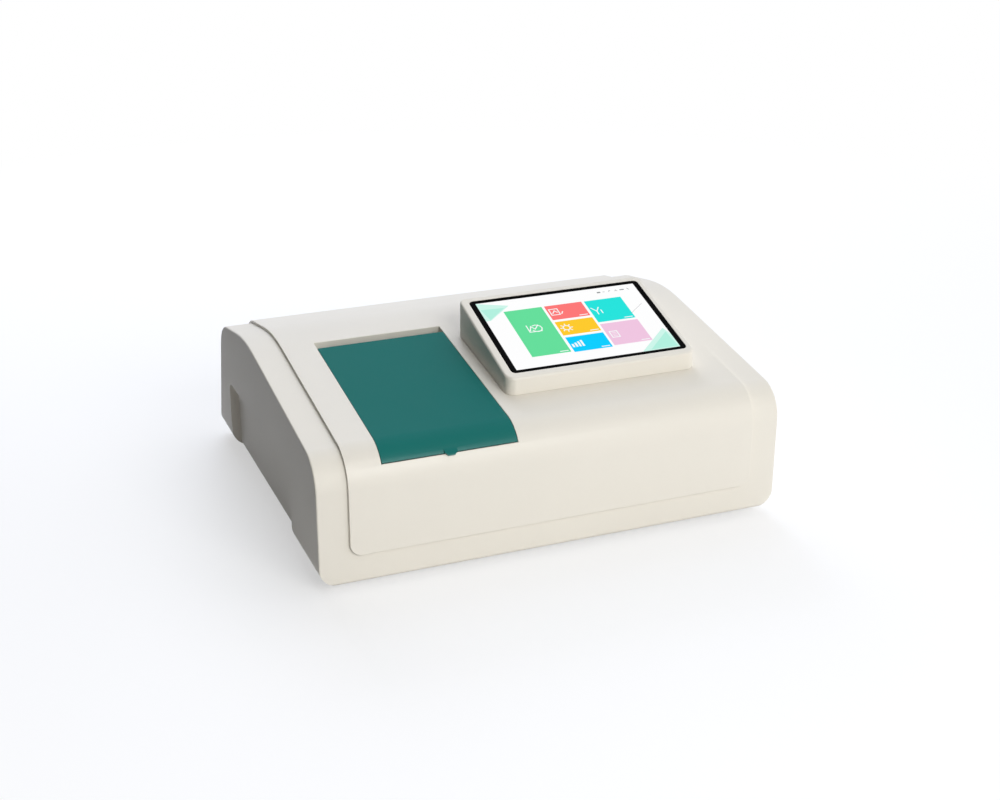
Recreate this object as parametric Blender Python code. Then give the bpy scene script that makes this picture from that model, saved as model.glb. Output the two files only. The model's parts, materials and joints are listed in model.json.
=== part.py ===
"""Bench UV-visible spectrophotometer, built as separate pieces in metres, +Z up.

The case frame used below has its origin in the middle of the front face's foot: X runs to
the right, Y to the back and Z up from the underside of the case. Three tilted frames lie in
it: the sloping top, the screen and the leaning back. Each piece is one closed solid.
"""
import math

import bmesh
import bpy
from mathutils import Matrix, Vector

# Case: overall outline seen from the side
BODY_WIDTH = 0.470
CASE_DEPTH = 0.392
SLOPE_FOOT_HEIGHT = 0.1225
SLOPE_ANGLE = math.radians(7.2)
PEAK_DISTANCE = 0.252
FALL_ANGLE = math.radians(11.7)
BACK_LEAN = math.radians(14.2)
FRONT_BEND_RADIUS = 0.033
PEAK_RADIUS = 0.200
REAR_BEND_RADIUS = 0.038
LOWER_EDGE_RADIUS = 0.0035
SIDE_FOOT_RADIUS = 0.020
CHEEK_EDGE_RADIUS = 0.0016
CASE_WALL = 0.003
CHEEK_WIDTH = 0.0295
BAND_HEIGHT = 0.029
REAR_SILL_HEIGHT = 0.014

# Clearances shared by the whole part
SEAT_GAP = 0.0003
RUNNING_GAP = 0.0008
OVERRUN = 0.020
MINIMUM_RADIUS = 0.0004
SAME_POINT = 0.00001

# Hand holds in the lower edge of the cheeks
HOLD_FRONT = 0.092
HOLD_REAR_SETBACK = 0.083
HOLD_TOP = 0.083
HOLD_DEPTH = 0.009
HOLD_CORNER_RADIUS = 0.012
HOLD_FOOT_RADIUS = 0.008

# Main cover
COVER_PROUD = 0.003
COVER_OVERLAP = 0.004
COVER_CORNER_RADIUS = 0.012
COVER_REAR_MARGIN = 0.0083
SKIRT_DEPTH = 0.008
SKIRT_WALL = 0.0025
SKIRT_GAP = 0.0004
FLANGE_DEPTH = 0.012
CABLE_HOLE_RADIUS = 0.015

# Sample lid
LID_CENTRE_INSET = 0.129
LID_WIDTH = 0.1315
LID_REAR_RUN = 0.2066
LID_FRONT_ANGLE = math.radians(35.0)
LID_THICKNESS = 0.003
LID_SIDE_GAP = 0.0006
LID_REAR_SLOT = 0.0125
LID_RIM_WALL = 0.002
LID_RIM_DEPTH = 0.006
TAB_WIDTH = 0.0125
TAB_TIP_WIDTH = 0.006
TAB_REACH = 0.0032
TAB_THICKNESS = 0.0022

# Lid hinge
HINGE_SETBACK = 0.004
HINGE_DROP = 0.006
HINGE_PIN_RADIUS = 0.0015
HINGE_EAR_RADIUS = 0.004
HINGE_EAR_WIDTH = 0.006
HINGE_EAR_INSET = 0.016
HINGE_TO_TUB = 0.0087
BRACKET_WIDTH = 0.005
BRACKET_RADIUS = 0.0045
BRACKET_FOOT_WIDTH = 0.014
BRACKET_FOOT_HEIGHT = 0.022
BRACKET_PLATE = 0.002
HINGE_WELL_DEPTH = 0.017
HINGE_WELL_SETBACK = 0.0051

# Feet
FOOT_HEIGHT = 0.007
FOOT_RADIUS = 0.0105
FOOT_TREAD_RADIUS = 0.009
FOOT_RECESS_RADIUS = 0.0045
FOOT_RECESS_DEPTH = 0.003
FOOT_INSET_X = 0.040
FOOT_FRONT = 0.034
FOOT_REAR_SETBACK = 0.047

# Optical bench plate
BENCH_SIDE_INSET = 0.022
BENCH_FRONT = 0.012
BENCH_REAR_SETBACK = 0.032
BENCH_THICKNESS = 0.006
BENCH_CORNER_RADIUS = 0.014

# Beam through the sample compartment, along X
BEAM_DROP = 0.0385
BEAM_DISTANCE = 0.1125

# Sample compartment tub
TUB_SIDE_GAP = 0.00175
TUB_FRONT = 0.032
TUB_WALL = 0.0025
TUB_LIP_WIDTH = 0.003
TUB_LIP_THICKNESS = 0.0025
GASKET_THICKNESS = 0.003
GASKET_WIDTH = 0.005
BEAM_HOLE_RADIUS = 0.007
WINDOW_RIM = 0.0025
WINDOW_THICKNESS = 0.002

# Four-place cell changer
CELL_COUNT = 4
CELL_PITCH = 0.020
CELL_SIZE = 0.0129
CELL_FLOOR_DROP = 0.015
CELL_END_WALL = 0.0036
HOLDER_WIDTH = 0.020
HOLDER_RISE = 0.015
HOLDER_WINDOW_WIDTH = 0.008
HOLDER_WINDOW_HEIGHT = 0.020
CARRIAGE_WIDTH = 0.060
CARRIAGE_THICKNESS = 0.012
RAIL_SPREAD = 0.022
RAIL_RADIUS = 0.003
RAIL_HEIGHT = 0.030
SCREW_RADIUS = 0.004
MOTOR_SIZE = 0.035
MOTOR_LENGTH = 0.034
MOTOR_CORNER = 0.004
MOTOR_BOSS_RADIUS = 0.011
MOTOR_BOSS_LENGTH = 0.002

# Detector beside the compartment
DETECTOR_WIDTH = 0.040
DETECTOR_HALF_LENGTH = 0.020
DETECTOR_RISE = 0.024
DETECTOR_WAIST = 0.008
DETECTOR_FOOT_HEIGHT = 0.010
DETECTOR_WAIST_DROP = 0.022
DETECTOR_GAP = 0.0026
DETECTOR_BORE_RADIUS = 0.0095
DETECTOR_BORE_DEPTH = 0.028
LENS_THICKNESS = 0.004
LENS_EDGE = 0.0016
DIODE_CAN_RADIUS = 0.006
DIODE_LENGTH = 0.008
DIODE_FLANGE = 0.0025
BOARD_THICKNESS = 0.0016
DETECTOR_BOARD_HEIGHT = 0.050
DETECTOR_BOARD_HALF_LENGTH = 0.019
CHIP_HEIGHT = 0.002

# Monochromator
MONO_TUB_GAP = 0.029
MONO_SIDE_INSET = 0.030
MONO_FRONT = 0.022
MONO_LAMP_GAP = 0.042
MIRROR_HEADROOM = 0.002
MONO_WALL = 0.005
MONO_CORNER_RADIUS = 0.008
MONO_LID_THICKNESS = 0.003
SLIT_PLATE_SIZE = 0.024
SLIT_PLATE_THICKNESS = 0.001
SLIT_WIDTH = 0.0012
SLIT_HEIGHT = 0.012
PORT_WIDTH = 0.010
PORT_HEIGHT = 0.016
LAMP_AXIS_INSET = 0.038
GRATING_ACROSS_SHARE = 0.53
GRATING_REAR_GAP = 0.042
GRATING_SIZE = 0.030
GRATING_DEPTH = 0.008
TABLE_RADIUS = 0.020
TABLE_THICKNESS = 0.005
TABLE_SHAFT_RADIUS = 0.003
TABLE_SHAFT_LENGTH = 0.0145
GRATING_TURN = math.radians(28.0)
MIRROR_RADIUS = 0.018
MIRROR_THICKNESS = 0.008
MIRROR_HOLLOW = 0.0016
MOUNT_FRAME = 0.005
MOUNT_PLATE = 0.006
MOUNT_FOOT_DEPTH = 0.018
COLLIMATOR_INSET = 0.042
COLLIMATOR_FRONT_GAP = 0.028
COLLIMATOR_TURN = math.radians(-62.0)
FOCUS_INSET = 0.019
FOCUS_DEPTH_SHARE = 0.47
FOCUS_TURN = math.radians(106.0)

# Lens between the monochromator and the compartment
LENS_MOUNT_WIDTH = 0.007
LENS_MOUNT_HALF_LENGTH = 0.014
LENS_MOUNT_RISE = 0.014
LENS_MOUNT_OFFSET = 0.006

# Filter wheel
WHEEL_RADIUS = 0.024
WHEEL_THICKNESS = 0.003
WHEEL_HOLE_RADIUS = 0.005
WHEEL_HOLE_RING = 0.016
WHEEL_HOLE_COUNT = 6
WHEEL_HUB_RADIUS = 0.005
WHEEL_HUB_LENGTH = 0.006
WHEEL_STANDOFF = 0.006
FILTER_MOTOR_SIZE = 0.028
FILTER_MOTOR_LENGTH = 0.020
FILTER_POST_WIDTH = 0.016

# Lamp house
LAMP_HOUSE_HALF_WIDTH = 0.060
LAMP_HOUSE_LENGTH = 0.074
LAMP_HOUSE_SETBACK = 0.062
LAMP_HOUSE_RISE = 0.028
LAMP_HOUSE_WALL = 0.002
LAMP_HOUSE_SLOTS = 7
LAMP_SLOT_WIDTH = 0.004
LAMP_SLOT_LENGTH = 0.040
LAMP_PORT_RADIUS = 0.008
SOURCE_MIRROR_REAR_GAP = 0.038
SOURCE_MIRROR_SIZE = 0.022
SOURCE_MIRROR_THICKNESS = 0.003
SOURCE_SHAFT_RADIUS = 0.003
SOURCE_MOTOR_RADIUS = 0.011
SOURCE_MOTOR_HEIGHT = 0.024
DEUTERIUM_OFFSET = 0.034
DEUTERIUM_BULB_RADIUS = 0.0135
DEUTERIUM_HEADROOM = 0.003
DEUTERIUM_FLANGE_RADIUS = 0.017
TUNGSTEN_OFFSET = 0.036
TUNGSTEN_BULB_RADIUS = 0.006
TUNGSTEN_HEADROOM = 0.012
TUNGSTEN_BASE_RADIUS = 0.009
LAMP_BASE_DROP = 0.026

# Boards and power supply
MAIN_BOARD_INSET = 0.029
MAIN_BOARD_LAMP_GAP = 0.022
MAIN_BOARD_MOTOR_GAP = 0.012
MAIN_BOARD_SETBACK = 0.054
MAIN_BOARD_HEIGHT = 0.022
STANDOFF_RADIUS = 0.003
STANDOFF_INSET = 0.006
SUPPLY_LAMP_GAP = 0.024
SUPPLY_SIDE_INSET = 0.031
SUPPLY_MONO_GAP = 0.018
SUPPLY_HEIGHT = 0.045
SUPPLY_WALL = 0.0015
SUPPLY_VENT_ROWS = 3
SUPPLY_VENT_COLUMNS = 8
SUPPLY_VENT_WIDTH_SHARE = 0.27
SUPPLY_VENT_LENGTH_SHARE = 0.67

# Rear panel and what it carries, in the frame of the leaning back
PANEL_OVERLAP = 0.0055
PANEL_LOW = 0.008
PANEL_THICKNESS = 0.0015
VENT_COUNT = 7
VENT_WIDTH = 0.0035
VENT_LENGTH = 0.042
VENT_PITCH = 0.008
VENT_FAN_GAP = 0.006
FEATURE_RISE_SHARE = 0.6155
FAN_CENTRE = -0.020
FAN_SIZE = 0.060
FAN_DEPTH = 0.020
FAN_CORNER = 0.005
FAN_BORE_RADIUS = 0.0285
FAN_SPIDER_ARM = 0.004
FAN_SPIDER_DEPTH = 0.003
FAN_HUB_RADIUS = 0.014
FAN_BLADE_COUNT = 7
FAN_TIP_GAP = 0.0013
FAN_BLADE_THICKNESS = 0.0014
FAN_BLADE_PITCH = math.radians(38.0)
FAN_ROTOR_DEPTH = 0.014
GUARD_WIRE = 0.0014
GUARD_RINGS = (0.008, 0.0155, 0.023, 0.0295)
GUARD_ARM = 0.0036
GUARD_EYE_RADIUS = 0.0034
FLANGE_PLATE = 0.0020
INLET_SIDE_INSET = 0.039
INLET_WIDTH = 0.031
INLET_HEIGHT = 0.040
INLET_BODY_WIDTH = 0.0272
INLET_BODY_HEIGHT = 0.036
INLET_BODY_DEPTH = 0.024
INLET_SOCKET_WIDTH = 0.0240
INLET_SOCKET_HEIGHT = 0.0165
INLET_SOCKET_DEPTH = 0.019
INLET_SOCKET_RISE = 0.0055
INLET_PIN_WIDTH = 0.0020
INLET_PIN_HEIGHT = 0.0045
INLET_PIN_LENGTH = 0.014
INLET_PIN_SPREAD = 0.007
INLET_PIN_OFFSET = 0.002
DRAWER_WIDTH = 0.0220
DRAWER_HEIGHT = 0.0080
DRAWER_DEPTH = 0.018
DRAWER_DROP = 0.0125
SWITCH_SPACING = 0.046
SWITCH_WIDTH = 0.021
SWITCH_HEIGHT = 0.030
SWITCH_BODY_WIDTH = 0.0185
SWITCH_BODY_HEIGHT = 0.0270
SWITCH_BODY_DEPTH = 0.018
ROCKER_WIDTH = 0.0140
ROCKER_HEIGHT = 0.0210
ROCKER_AXIS_DEPTH = 0.0040
ROCKER_TILT = math.radians(9.0)
ROCKER_SKIRT = 0.0040
USB_SIDE_INSET = 0.089
SERIAL_SIDE_INSET = 0.047
USB_WIDTH = 0.0120
USB_HEIGHT = 0.0110
USB_DEPTH = 0.016
USB_WALL = 0.0011
USB_TONGUE_HEIGHT = 0.0034
USB_TONGUE_WIDTH = 0.0058
SERIAL_WIDTH = 0.0310
SERIAL_HEIGHT = 0.0125
SERIAL_SHELL_WIDTH = 0.0165
SERIAL_SHELL_HEIGHT = 0.0083
SERIAL_SHELL_WALL = 0.0009
SERIAL_BODY_DEPTH = 0.010
SERIAL_SHELL_REACH = 0.0030
SERIAL_TAPER = 0.0012

# Screen console
CONSOLE_LID_GAP = 0.01325
CONSOLE_SIDE_INSET = 0.0605
CONSOLE_FRONT = 0.062
CONSOLE_REAR = 0.195
CONSOLE_FRONT_RISE = 0.01766
SCREEN_TILT = math.radians(15.5)
CONSOLE_WALL = 0.003
CONSOLE_TOP_WALL = 0.0045
CONSOLE_FRONT_RADIUS = 0.010
CONSOLE_REAR_RADIUS = 0.007
CONSOLE_EDGE_RADIUS = 0.0022
GLASS_LEFT_MARGIN = 0.0085
GLASS_RIGHT_MARGIN = 0.0060
GLASS_FRONT_MARGIN = 0.0083
GLASS_REAR_MARGIN = 0.0071
GLASS_THICKNESS = 0.0018
GLASS_CORNER_RADIUS = 0.0045
DISPLAY_SIDE_MARGIN = 0.0060
DISPLAY_FRONT_MARGIN = 0.0024
DISPLAY_REAR_MARGIN = 0.0050
DISPLAY_THICKNESS = 0.0060

# Roundness of the mesh
BEND_STEPS = 8
SMALL_STEPS = 4
ROUND_SIDES = 24
SMALL_SIDES = 16
ROUND_PROFILE = 0.5

# Colours, each with its roughness and metallic value
CREAM = ("cream", (0.78, 0.75, 0.66), 0.45, 0.0)
CREAM_COVER = ("cream_cover", (0.80, 0.77, 0.69), 0.42, 0.0)
TEAL = ("teal", (0.022, 0.155, 0.140), 0.32, 0.0)
BLACK_PLASTIC = ("black_plastic", (0.012, 0.012, 0.013), 0.45, 0.0)
BLACK_RUBBER = ("black_rubber", (0.020, 0.020, 0.020), 0.85, 0.0)
BLACK_ANODISED = ("black_anodised", (0.016, 0.016, 0.018), 0.40, 0.6)
SCREEN_BLACK = ("screen_black", (0.004, 0.004, 0.005), 0.08, 0.0)
STEEL = ("steel", (0.56, 0.57, 0.58), 0.28, 1.0)
ALUMINIUM = ("aluminium", (0.66, 0.67, 0.68), 0.38, 1.0)
SHEET_METAL = ("sheet_metal", (0.70, 0.69, 0.64), 0.50, 0.2)
MIRROR_COAT = ("mirror_coat", (0.92, 0.93, 0.94), 0.03, 1.0)
CLEAR_GLASS = ("clear_glass", (0.85, 0.90, 0.92), 0.04, 0.0)
CIRCUIT_GREEN = ("circuit_green", (0.018, 0.120, 0.060), 0.45, 0.0)
CERAMIC = ("ceramic", (0.82, 0.80, 0.75), 0.60, 0.0)

# Values worked out from the sizes above: the case and what it carries
HALF_WIDTH = BODY_WIDTH / 2
CASE_OFFSET = Vector((0, (COVER_PROUD - CASE_DEPTH) / 2, FOOT_HEIGHT))
COVER_HALF_WIDTH = HALF_WIDTH - CHEEK_WIDTH
OPENING_HALF_WIDTH = COVER_HALF_WIDTH - COVER_OVERLAP
HOLD_REAR = CASE_DEPTH - HOLD_REAR_SETBACK
PEAK_HEIGHT = SLOPE_FOOT_HEIGHT + PEAK_DISTANCE * math.tan(SLOPE_ANGLE)
REAR_CORNER_RISE = ((PEAK_HEIGHT - (CASE_DEPTH - PEAK_DISTANCE) * math.tan(FALL_ANGLE))
                    * math.cos(FALL_ANGLE) / math.cos(FALL_ANGLE + BACK_LEAN))
REAR_BEND_REACH = REAR_BEND_RADIUS * math.tan((math.pi / 2 - FALL_ANGLE - BACK_LEAN) / 2)
COVER_REAR_RISE = REAR_CORNER_RISE - REAR_BEND_REACH - COVER_REAR_MARGIN
LID_CENTRE_X = LID_CENTRE_INSET - HALF_WIDTH
LID_LEFT = LID_CENTRE_X - LID_WIDTH / 2
LID_RIGHT = LID_CENTRE_X + LID_WIDTH / 2
HINGE_RUN = LID_REAR_RUN - HINGE_SETBACK
HINGE_BORE_RADIUS = HINGE_PIN_RADIUS + SEAT_GAP
EAR_PLACES = (LID_LEFT + HINGE_EAR_INSET, LID_RIGHT - HINGE_EAR_INSET - HINGE_EAR_WIDTH)
FOOT_REAR = CASE_DEPTH - FOOT_REAR_SETBACK
BENCH_HALF_WIDTH = HALF_WIDTH - BENCH_SIDE_INSET
BENCH_REAR = CASE_DEPTH - BENCH_REAR_SETBACK
BENCH_LOW = CASE_WALL + SEAT_GAP
BENCH_TOP = BENCH_LOW + BENCH_THICKNESS
STAND_HEIGHT = BENCH_TOP + SEAT_GAP
BEAM_HEIGHT = SLOPE_FOOT_HEIGHT - BEAM_DROP

# Worked out: sample compartment and cell changer
PIN_LEFT = LID_LEFT + LID_RIM_WALL + TUB_SIDE_GAP
PIN_RIGHT = LID_RIGHT - LID_RIM_WALL - TUB_SIDE_GAP
BRACKET_PLACES = (PIN_LEFT, PIN_RIGHT - BRACKET_WIDTH)
TUB_LEFT = PIN_LEFT + TUB_LIP_WIDTH
TUB_RIGHT = PIN_RIGHT - TUB_LIP_WIDTH
TUB_RIM = -(2 * SEAT_GAP + GASKET_THICKNESS)
TUB_REAR = HINGE_RUN * math.cos(SLOPE_ANGLE) + HINGE_DROP * math.sin(SLOPE_ANGLE) - HINGE_TO_TUB
TUB_REAR_RUN = TUB_REAR / math.cos(SLOPE_ANGLE)
TUB_FRONT_RUN = TUB_FRONT / math.cos(SLOPE_ANGLE)
HINGE_WELL_FRONT = HINGE_RUN - HINGE_WELL_SETBACK
WINDOW_RADIUS = BEAM_HOLE_RADIUS + WINDOW_RIM
RAIL_BORE_RADIUS = RAIL_RADIUS + SEAT_GAP
SCREW_BORE_RADIUS = SCREW_RADIUS + SEAT_GAP
SCREW_PASSAGE_RADIUS = SCREW_RADIUS + 2 * RUNNING_GAP
CARRIAGE_LOW = RAIL_HEIGHT - CARRIAGE_THICKNESS / 2
CARRIAGE_HIGH = RAIL_HEIGHT + CARRIAGE_THICKNESS / 2
HOLDER_TOP = BEAM_HEIGHT + HOLDER_RISE
HOLDER_LENGTH = (CELL_COUNT - 1) * CELL_PITCH + CELL_SIZE + 2 * CELL_END_WALL
HOLDER_FRONT = BEAM_DISTANCE - CELL_SIZE / 2 - CELL_END_WALL
HOLDER_REAR = HOLDER_FRONT + HOLDER_LENGTH

# Worked out: detector, monochromator and lamp house
DETECTOR_TOP = BEAM_HEIGHT + DETECTOR_RISE
DETECTOR_WAIST_TOP = BEAM_HEIGHT - DETECTOR_WAIST_DROP
LENS_RADIUS = DETECTOR_BORE_RADIUS - SEAT_GAP
DIODE_RADIUS = DETECTOR_BORE_RADIUS - SEAT_GAP
LENS_MOUNT_TOP = BEAM_HEIGHT + LENS_MOUNT_RISE
LAMP_HOUSE_REAR = CASE_DEPTH - LAMP_HOUSE_SETBACK
LAMP_HOUSE_FRONT = LAMP_HOUSE_REAR - LAMP_HOUSE_LENGTH
LAMP_HOUSE_TOP = BEAM_HEIGHT + LAMP_HOUSE_RISE
MONO_LEFT = TUB_RIGHT + MONO_TUB_GAP
MONO_RIGHT = HALF_WIDTH - MONO_SIDE_INSET
MONO_REAR = LAMP_HOUSE_FRONT - MONO_LAMP_GAP
MONO_TOP = BEAM_HEIGHT + MIRROR_RADIUS + MIRROR_HEADROOM
MONO_FLOOR = STAND_HEIGHT + MONO_WALL + SEAT_GAP
LAMP_AXIS_X = MONO_LEFT + LAMP_AXIS_INSET
LAMP_HOUSE_LEFT = LAMP_AXIS_X - LAMP_HOUSE_HALF_WIDTH
LAMP_HOUSE_RIGHT = LAMP_AXIS_X + LAMP_HOUSE_HALF_WIDTH
LAMP_BASE_TOP = BEAM_HEIGHT - LAMP_BASE_DROP
SOURCE_MIRROR_Y = LAMP_HOUSE_REAR - SOURCE_MIRROR_REAR_GAP
GRATING_X = MONO_LEFT + GRATING_ACROSS_SHARE * (MONO_RIGHT - MONO_LEFT)
GRATING_Y = MONO_REAR - GRATING_REAR_GAP
COLLIMATOR_X = MONO_LEFT + COLLIMATOR_INSET
COLLIMATOR_Y = MONO_FRONT + COLLIMATOR_FRONT_GAP
FOCUS_X = MONO_RIGHT - FOCUS_INSET
FOCUS_Y = MONO_FRONT + FOCUS_DEPTH_SHARE * (MONO_REAR - MONO_FRONT)
TABLE_HEIGHT = BEAM_HEIGHT - GRATING_SIZE / 2 - TABLE_THICKNESS - SEAT_GAP
GRATING_MOTOR_LENGTH = TABLE_HEIGHT - TABLE_SHAFT_LENGTH - SEAT_GAP - MONO_FLOOR
DEUTERIUM_BULB_TOP = LAMP_HOUSE_TOP - LAMP_HOUSE_WALL - DEUTERIUM_HEADROOM
TUNGSTEN_BULB_TOP = LAMP_HOUSE_TOP - LAMP_HOUSE_WALL - TUNGSTEN_HEADROOM

# Worked out: electronics, rear panel and console
MAIN_BOARD_LEFT = MAIN_BOARD_INSET - HALF_WIDTH
MAIN_BOARD_RIGHT = LAMP_HOUSE_LEFT - MAIN_BOARD_LAMP_GAP
MAIN_BOARD_FRONT = TUB_REAR + MOTOR_LENGTH + MAIN_BOARD_MOTOR_GAP
MAIN_BOARD_REAR = CASE_DEPTH - MAIN_BOARD_SETBACK
SUPPLY_LEFT = LAMP_HOUSE_RIGHT + SUPPLY_LAMP_GAP
SUPPLY_RIGHT = HALF_WIDTH - SUPPLY_SIDE_INSET
SUPPLY_FRONT = MONO_REAR + SUPPLY_MONO_GAP
SUPPLY_REAR = LAMP_HOUSE_REAR
PANEL_HALF_WIDTH = OPENING_HALF_WIDTH + PANEL_OVERLAP
PANEL_FACE = -(CASE_WALL + SEAT_GAP)
PANEL_BACK = PANEL_FACE - PANEL_THICKNESS
PANEL_HIGH = COVER_REAR_RISE + SKIRT_GAP - SEAT_GAP
FEATURE_RISE = COVER_REAR_RISE * FEATURE_RISE_SHARE
FAN_BLADE_TIP = FAN_BORE_RADIUS - FAN_TIP_GAP
INLET_CENTRE = INLET_SIDE_INSET - PANEL_HALF_WIDTH
SWITCH_CENTRE = INLET_CENTRE + SWITCH_SPACING
USB_CENTRE = PANEL_HALF_WIDTH - USB_SIDE_INSET
SERIAL_CENTRE = PANEL_HALF_WIDTH - SERIAL_SIDE_INSET
CONSOLE_LEFT = LID_RIGHT + CONSOLE_LID_GAP
CONSOLE_RIGHT = HALF_WIDTH - CONSOLE_SIDE_INSET
CONSOLE_FRONT_HEIGHT = (SLOPE_FOOT_HEIGHT + CONSOLE_FRONT * math.tan(SLOPE_ANGLE)
                        + COVER_PROUD / math.cos(SLOPE_ANGLE) + CONSOLE_FRONT_RISE)
GLASS_LEFT = CONSOLE_LEFT + GLASS_LEFT_MARGIN
GLASS_RIGHT = CONSOLE_RIGHT - GLASS_RIGHT_MARGIN
GLASS_FRONT_RUN = GLASS_FRONT_MARGIN
GLASS_REAR_RUN = (CONSOLE_REAR - CONSOLE_FRONT) / math.cos(SCREEN_TILT) - GLASS_REAR_MARGIN

SLOPE_FRAME = Matrix.Translation((0, 0, SLOPE_FOOT_HEIGHT)) @ Matrix.Rotation(SLOPE_ANGLE, 4, "X")
SCREEN_FRAME = (Matrix.Translation((0, CONSOLE_FRONT, CONSOLE_FRONT_HEIGHT))
                @ Matrix.Rotation(SCREEN_TILT, 4, "X"))
BACK_FRAME = (Matrix.Translation((0, CASE_DEPTH, 0)) @ Matrix.Rotation(math.pi, 4, "Z")
              @ Matrix.Rotation(math.pi / 2 - BACK_LEAN, 4, "X"))
LEVEL_FRAME = Matrix.Identity(4)
SQUARE = ((-1, -1), (1, -1), (1, 1), (-1, 1))


def clear_scene():
    """Take every object out of the scene."""
    for thing in list(bpy.data.objects):
        bpy.data.objects.remove(thing, do_unlink=True)


# Mesh helpers

def solid(vertices, faces):
    """Make an unnamed object of one closed mesh with its faces turned outwards."""
    mesh = bpy.data.meshes.new("blank")
    mesh.from_pydata([tuple(vertex) for vertex in vertices], [], faces)
    body = bmesh.new()
    body.from_mesh(mesh)
    bmesh.ops.recalc_face_normals(body, faces=body.faces)
    body.to_mesh(mesh)
    body.free()
    thing = bpy.data.objects.new("blank", mesh)
    bpy.context.scene.collection.objects.link(thing)
    return thing


def loft(rings):
    """Join rings of equally many points in order, with a flat face at each end."""
    count = len(rings[0])
    vertices = [point for ring in rings for point in ring]
    faces = [list(range(count)), list(range(len(vertices) - count, len(vertices)))]
    for level in range(len(rings) - 1):
        low = level * count
        for index in range(count):
            after = (index + 1) % count
            faces.append([low + index, low + after, low + count + after, low + count + index])
    return solid(vertices, faces)


def prism(axis, outline, low, high, frame=LEVEL_FRAME):
    """Extrude an outline, given in the two other axes in X, Y, Z order, along an axis."""
    place = {
        "X": lambda point, reach: Vector((reach, point[0], point[1])),
        "Y": lambda point, reach: Vector((point[0], reach, point[1])),
        "Z": lambda point, reach: Vector((point[0], point[1], reach)),
    }[axis]
    return loft([[frame @ place(point, reach) for point in outline] for reach in (low, high)])


def block(low, high, frame=LEVEL_FRAME):
    """Make a box between two corners."""
    outline = [(low[0], low[1]), (high[0], low[1]), (high[0], high[1]), (low[0], high[1])]
    return prism("Z", outline, low[2], high[2], frame)


def circle(centre, radius, sides=ROUND_SIDES):
    """Give the corners of a regular polygon round a centre."""
    turns = [math.tau * index / sides for index in range(sides)]
    return [(centre[0] + radius * math.cos(turn), centre[1] + radius * math.sin(turn))
            for turn in turns]


def rod(axis, centre, radius, low, high, sides=ROUND_SIDES, frame=LEVEL_FRAME):
    """Make a round bar along an axis."""
    return prism(axis, circle(centre, radius, sides), low, high, frame)


def turned(profile, frame, sides=ROUND_SIDES):
    """Turn a profile of (radius, height) points round the Z axis of a frame."""
    rings = []
    for radius, height in profile:
        rings.append([frame @ Vector((x, y, height))
                      for x, y in circle((0, 0), max(radius, MINIMUM_RADIUS), sides)])
    return loft(rings)


def rounded_rectangle(low, high, radii, steps=SMALL_STEPS):
    """Outline of a rectangle whose corners, from the low one round, have their own radii."""
    corners = [(low[0], low[1], 1, 1), (high[0], low[1], -1, 1),
               (high[0], high[1], -1, -1), (low[0], high[1], 1, -1)]
    outline = []
    for number, (x, y, inward_x, inward_y) in enumerate(corners):
        radius = radii[number]
        start = math.pi + number * math.pi / 2
        for step in range(steps + 1):
            turn = start + step / steps * math.pi / 2
            outline.append(Vector((x + radius * (inward_x + math.cos(turn)),
                                   y + radius * (inward_y + math.sin(turn)))))
    return [point for number, point in enumerate(outline)
            if (point - outline[number - 1]).length > SAME_POINT]


def combine(operation, target, tools):
    """Apply a Boolean of each tool to the target and drop the tools."""
    for tool in tools:
        modifier = target.modifiers.new(operation, "BOOLEAN")
        modifier.operation = operation
        modifier.solver = "EXACT"
        modifier.object = tool
        bpy.context.view_layer.update()
        graph = bpy.context.evaluated_depsgraph_get()
        mesh = bpy.data.meshes.new_from_object(target.evaluated_get(graph))
        target.modifiers.clear()
        target.data = mesh
        bpy.data.objects.remove(tool, do_unlink=True)
    return target


def carve(target, *tools):
    """Cut tools out of the target."""
    return combine("DIFFERENCE", target, tools)


def fuse(target, *tools):
    """Join tools to the target as one body."""
    return combine("UNION", target, tools)


def keep_common(target, *tools):
    """Keep what the target shares with each tool."""
    return combine("INTERSECT", target, tools)


def soften(target, chooses, width, steps):
    """Round the edges whose two end points a test picks."""
    body = bmesh.new()
    body.from_mesh(target.data)
    edges = [edge for edge in body.edges
             if chooses(edge.verts[0].co) and chooses(edge.verts[1].co)
             and edge.calc_face_angle(0) > math.radians(30)]
    bmesh.ops.bevel(body, geom=edges, offset=width, segments=steps, profile=ROUND_PROFILE,
                    affect="EDGES", clamp_overlap=True)
    body.to_mesh(target.data)
    body.free()
    return target


def finished(thing, name, finish, pivot=None):
    """Name a piece, give it its material and put its origin on its pivot."""
    thing.name = name
    thing.data.name = name
    label, colour, roughness, metallic = finish
    material = bpy.data.materials.get(label) or bpy.data.materials.new(label)
    material.use_nodes = True
    shader = material.node_tree.nodes["Principled BSDF"]
    shader.inputs["Base Color"].default_value = (*colour, 1)
    shader.inputs["Roughness"].default_value = roughness
    shader.inputs["Metallic"].default_value = metallic
    thing.data.materials.clear()
    thing.data.materials.append(material)
    origin = Vector(pivot) if pivot is not None else Vector((0, 0, 0))
    thing.data.transform(Matrix.Translation(-origin))
    thing.location = origin + CASE_OFFSET
    thing.data.shade_smooth()
    thing.data.set_sharp_from_angle(angle=math.radians(32))
    return thing


# Side outline of the case, whose lines can all be moved outwards by one offset

def side_lines(offset):
    """Lines of the side view as (outward normal, distance), from the front upwards."""
    slope = Vector((-math.sin(SLOPE_ANGLE), math.cos(SLOPE_ANGLE)))
    fall = Vector((math.sin(FALL_ANGLE), math.cos(FALL_ANGLE)))
    back = Vector((math.cos(BACK_LEAN), math.sin(BACK_LEAN)))
    peak = Vector((PEAK_DISTANCE, PEAK_HEIGHT))
    return [
        (Vector((-1, 0)), offset),
        (slope, SLOPE_FOOT_HEIGHT * slope.y + offset),
        (fall, peak.dot(fall) + offset),
        (back, CASE_DEPTH * back.x + offset),
        (Vector((0, -1)), offset),
    ]


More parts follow.
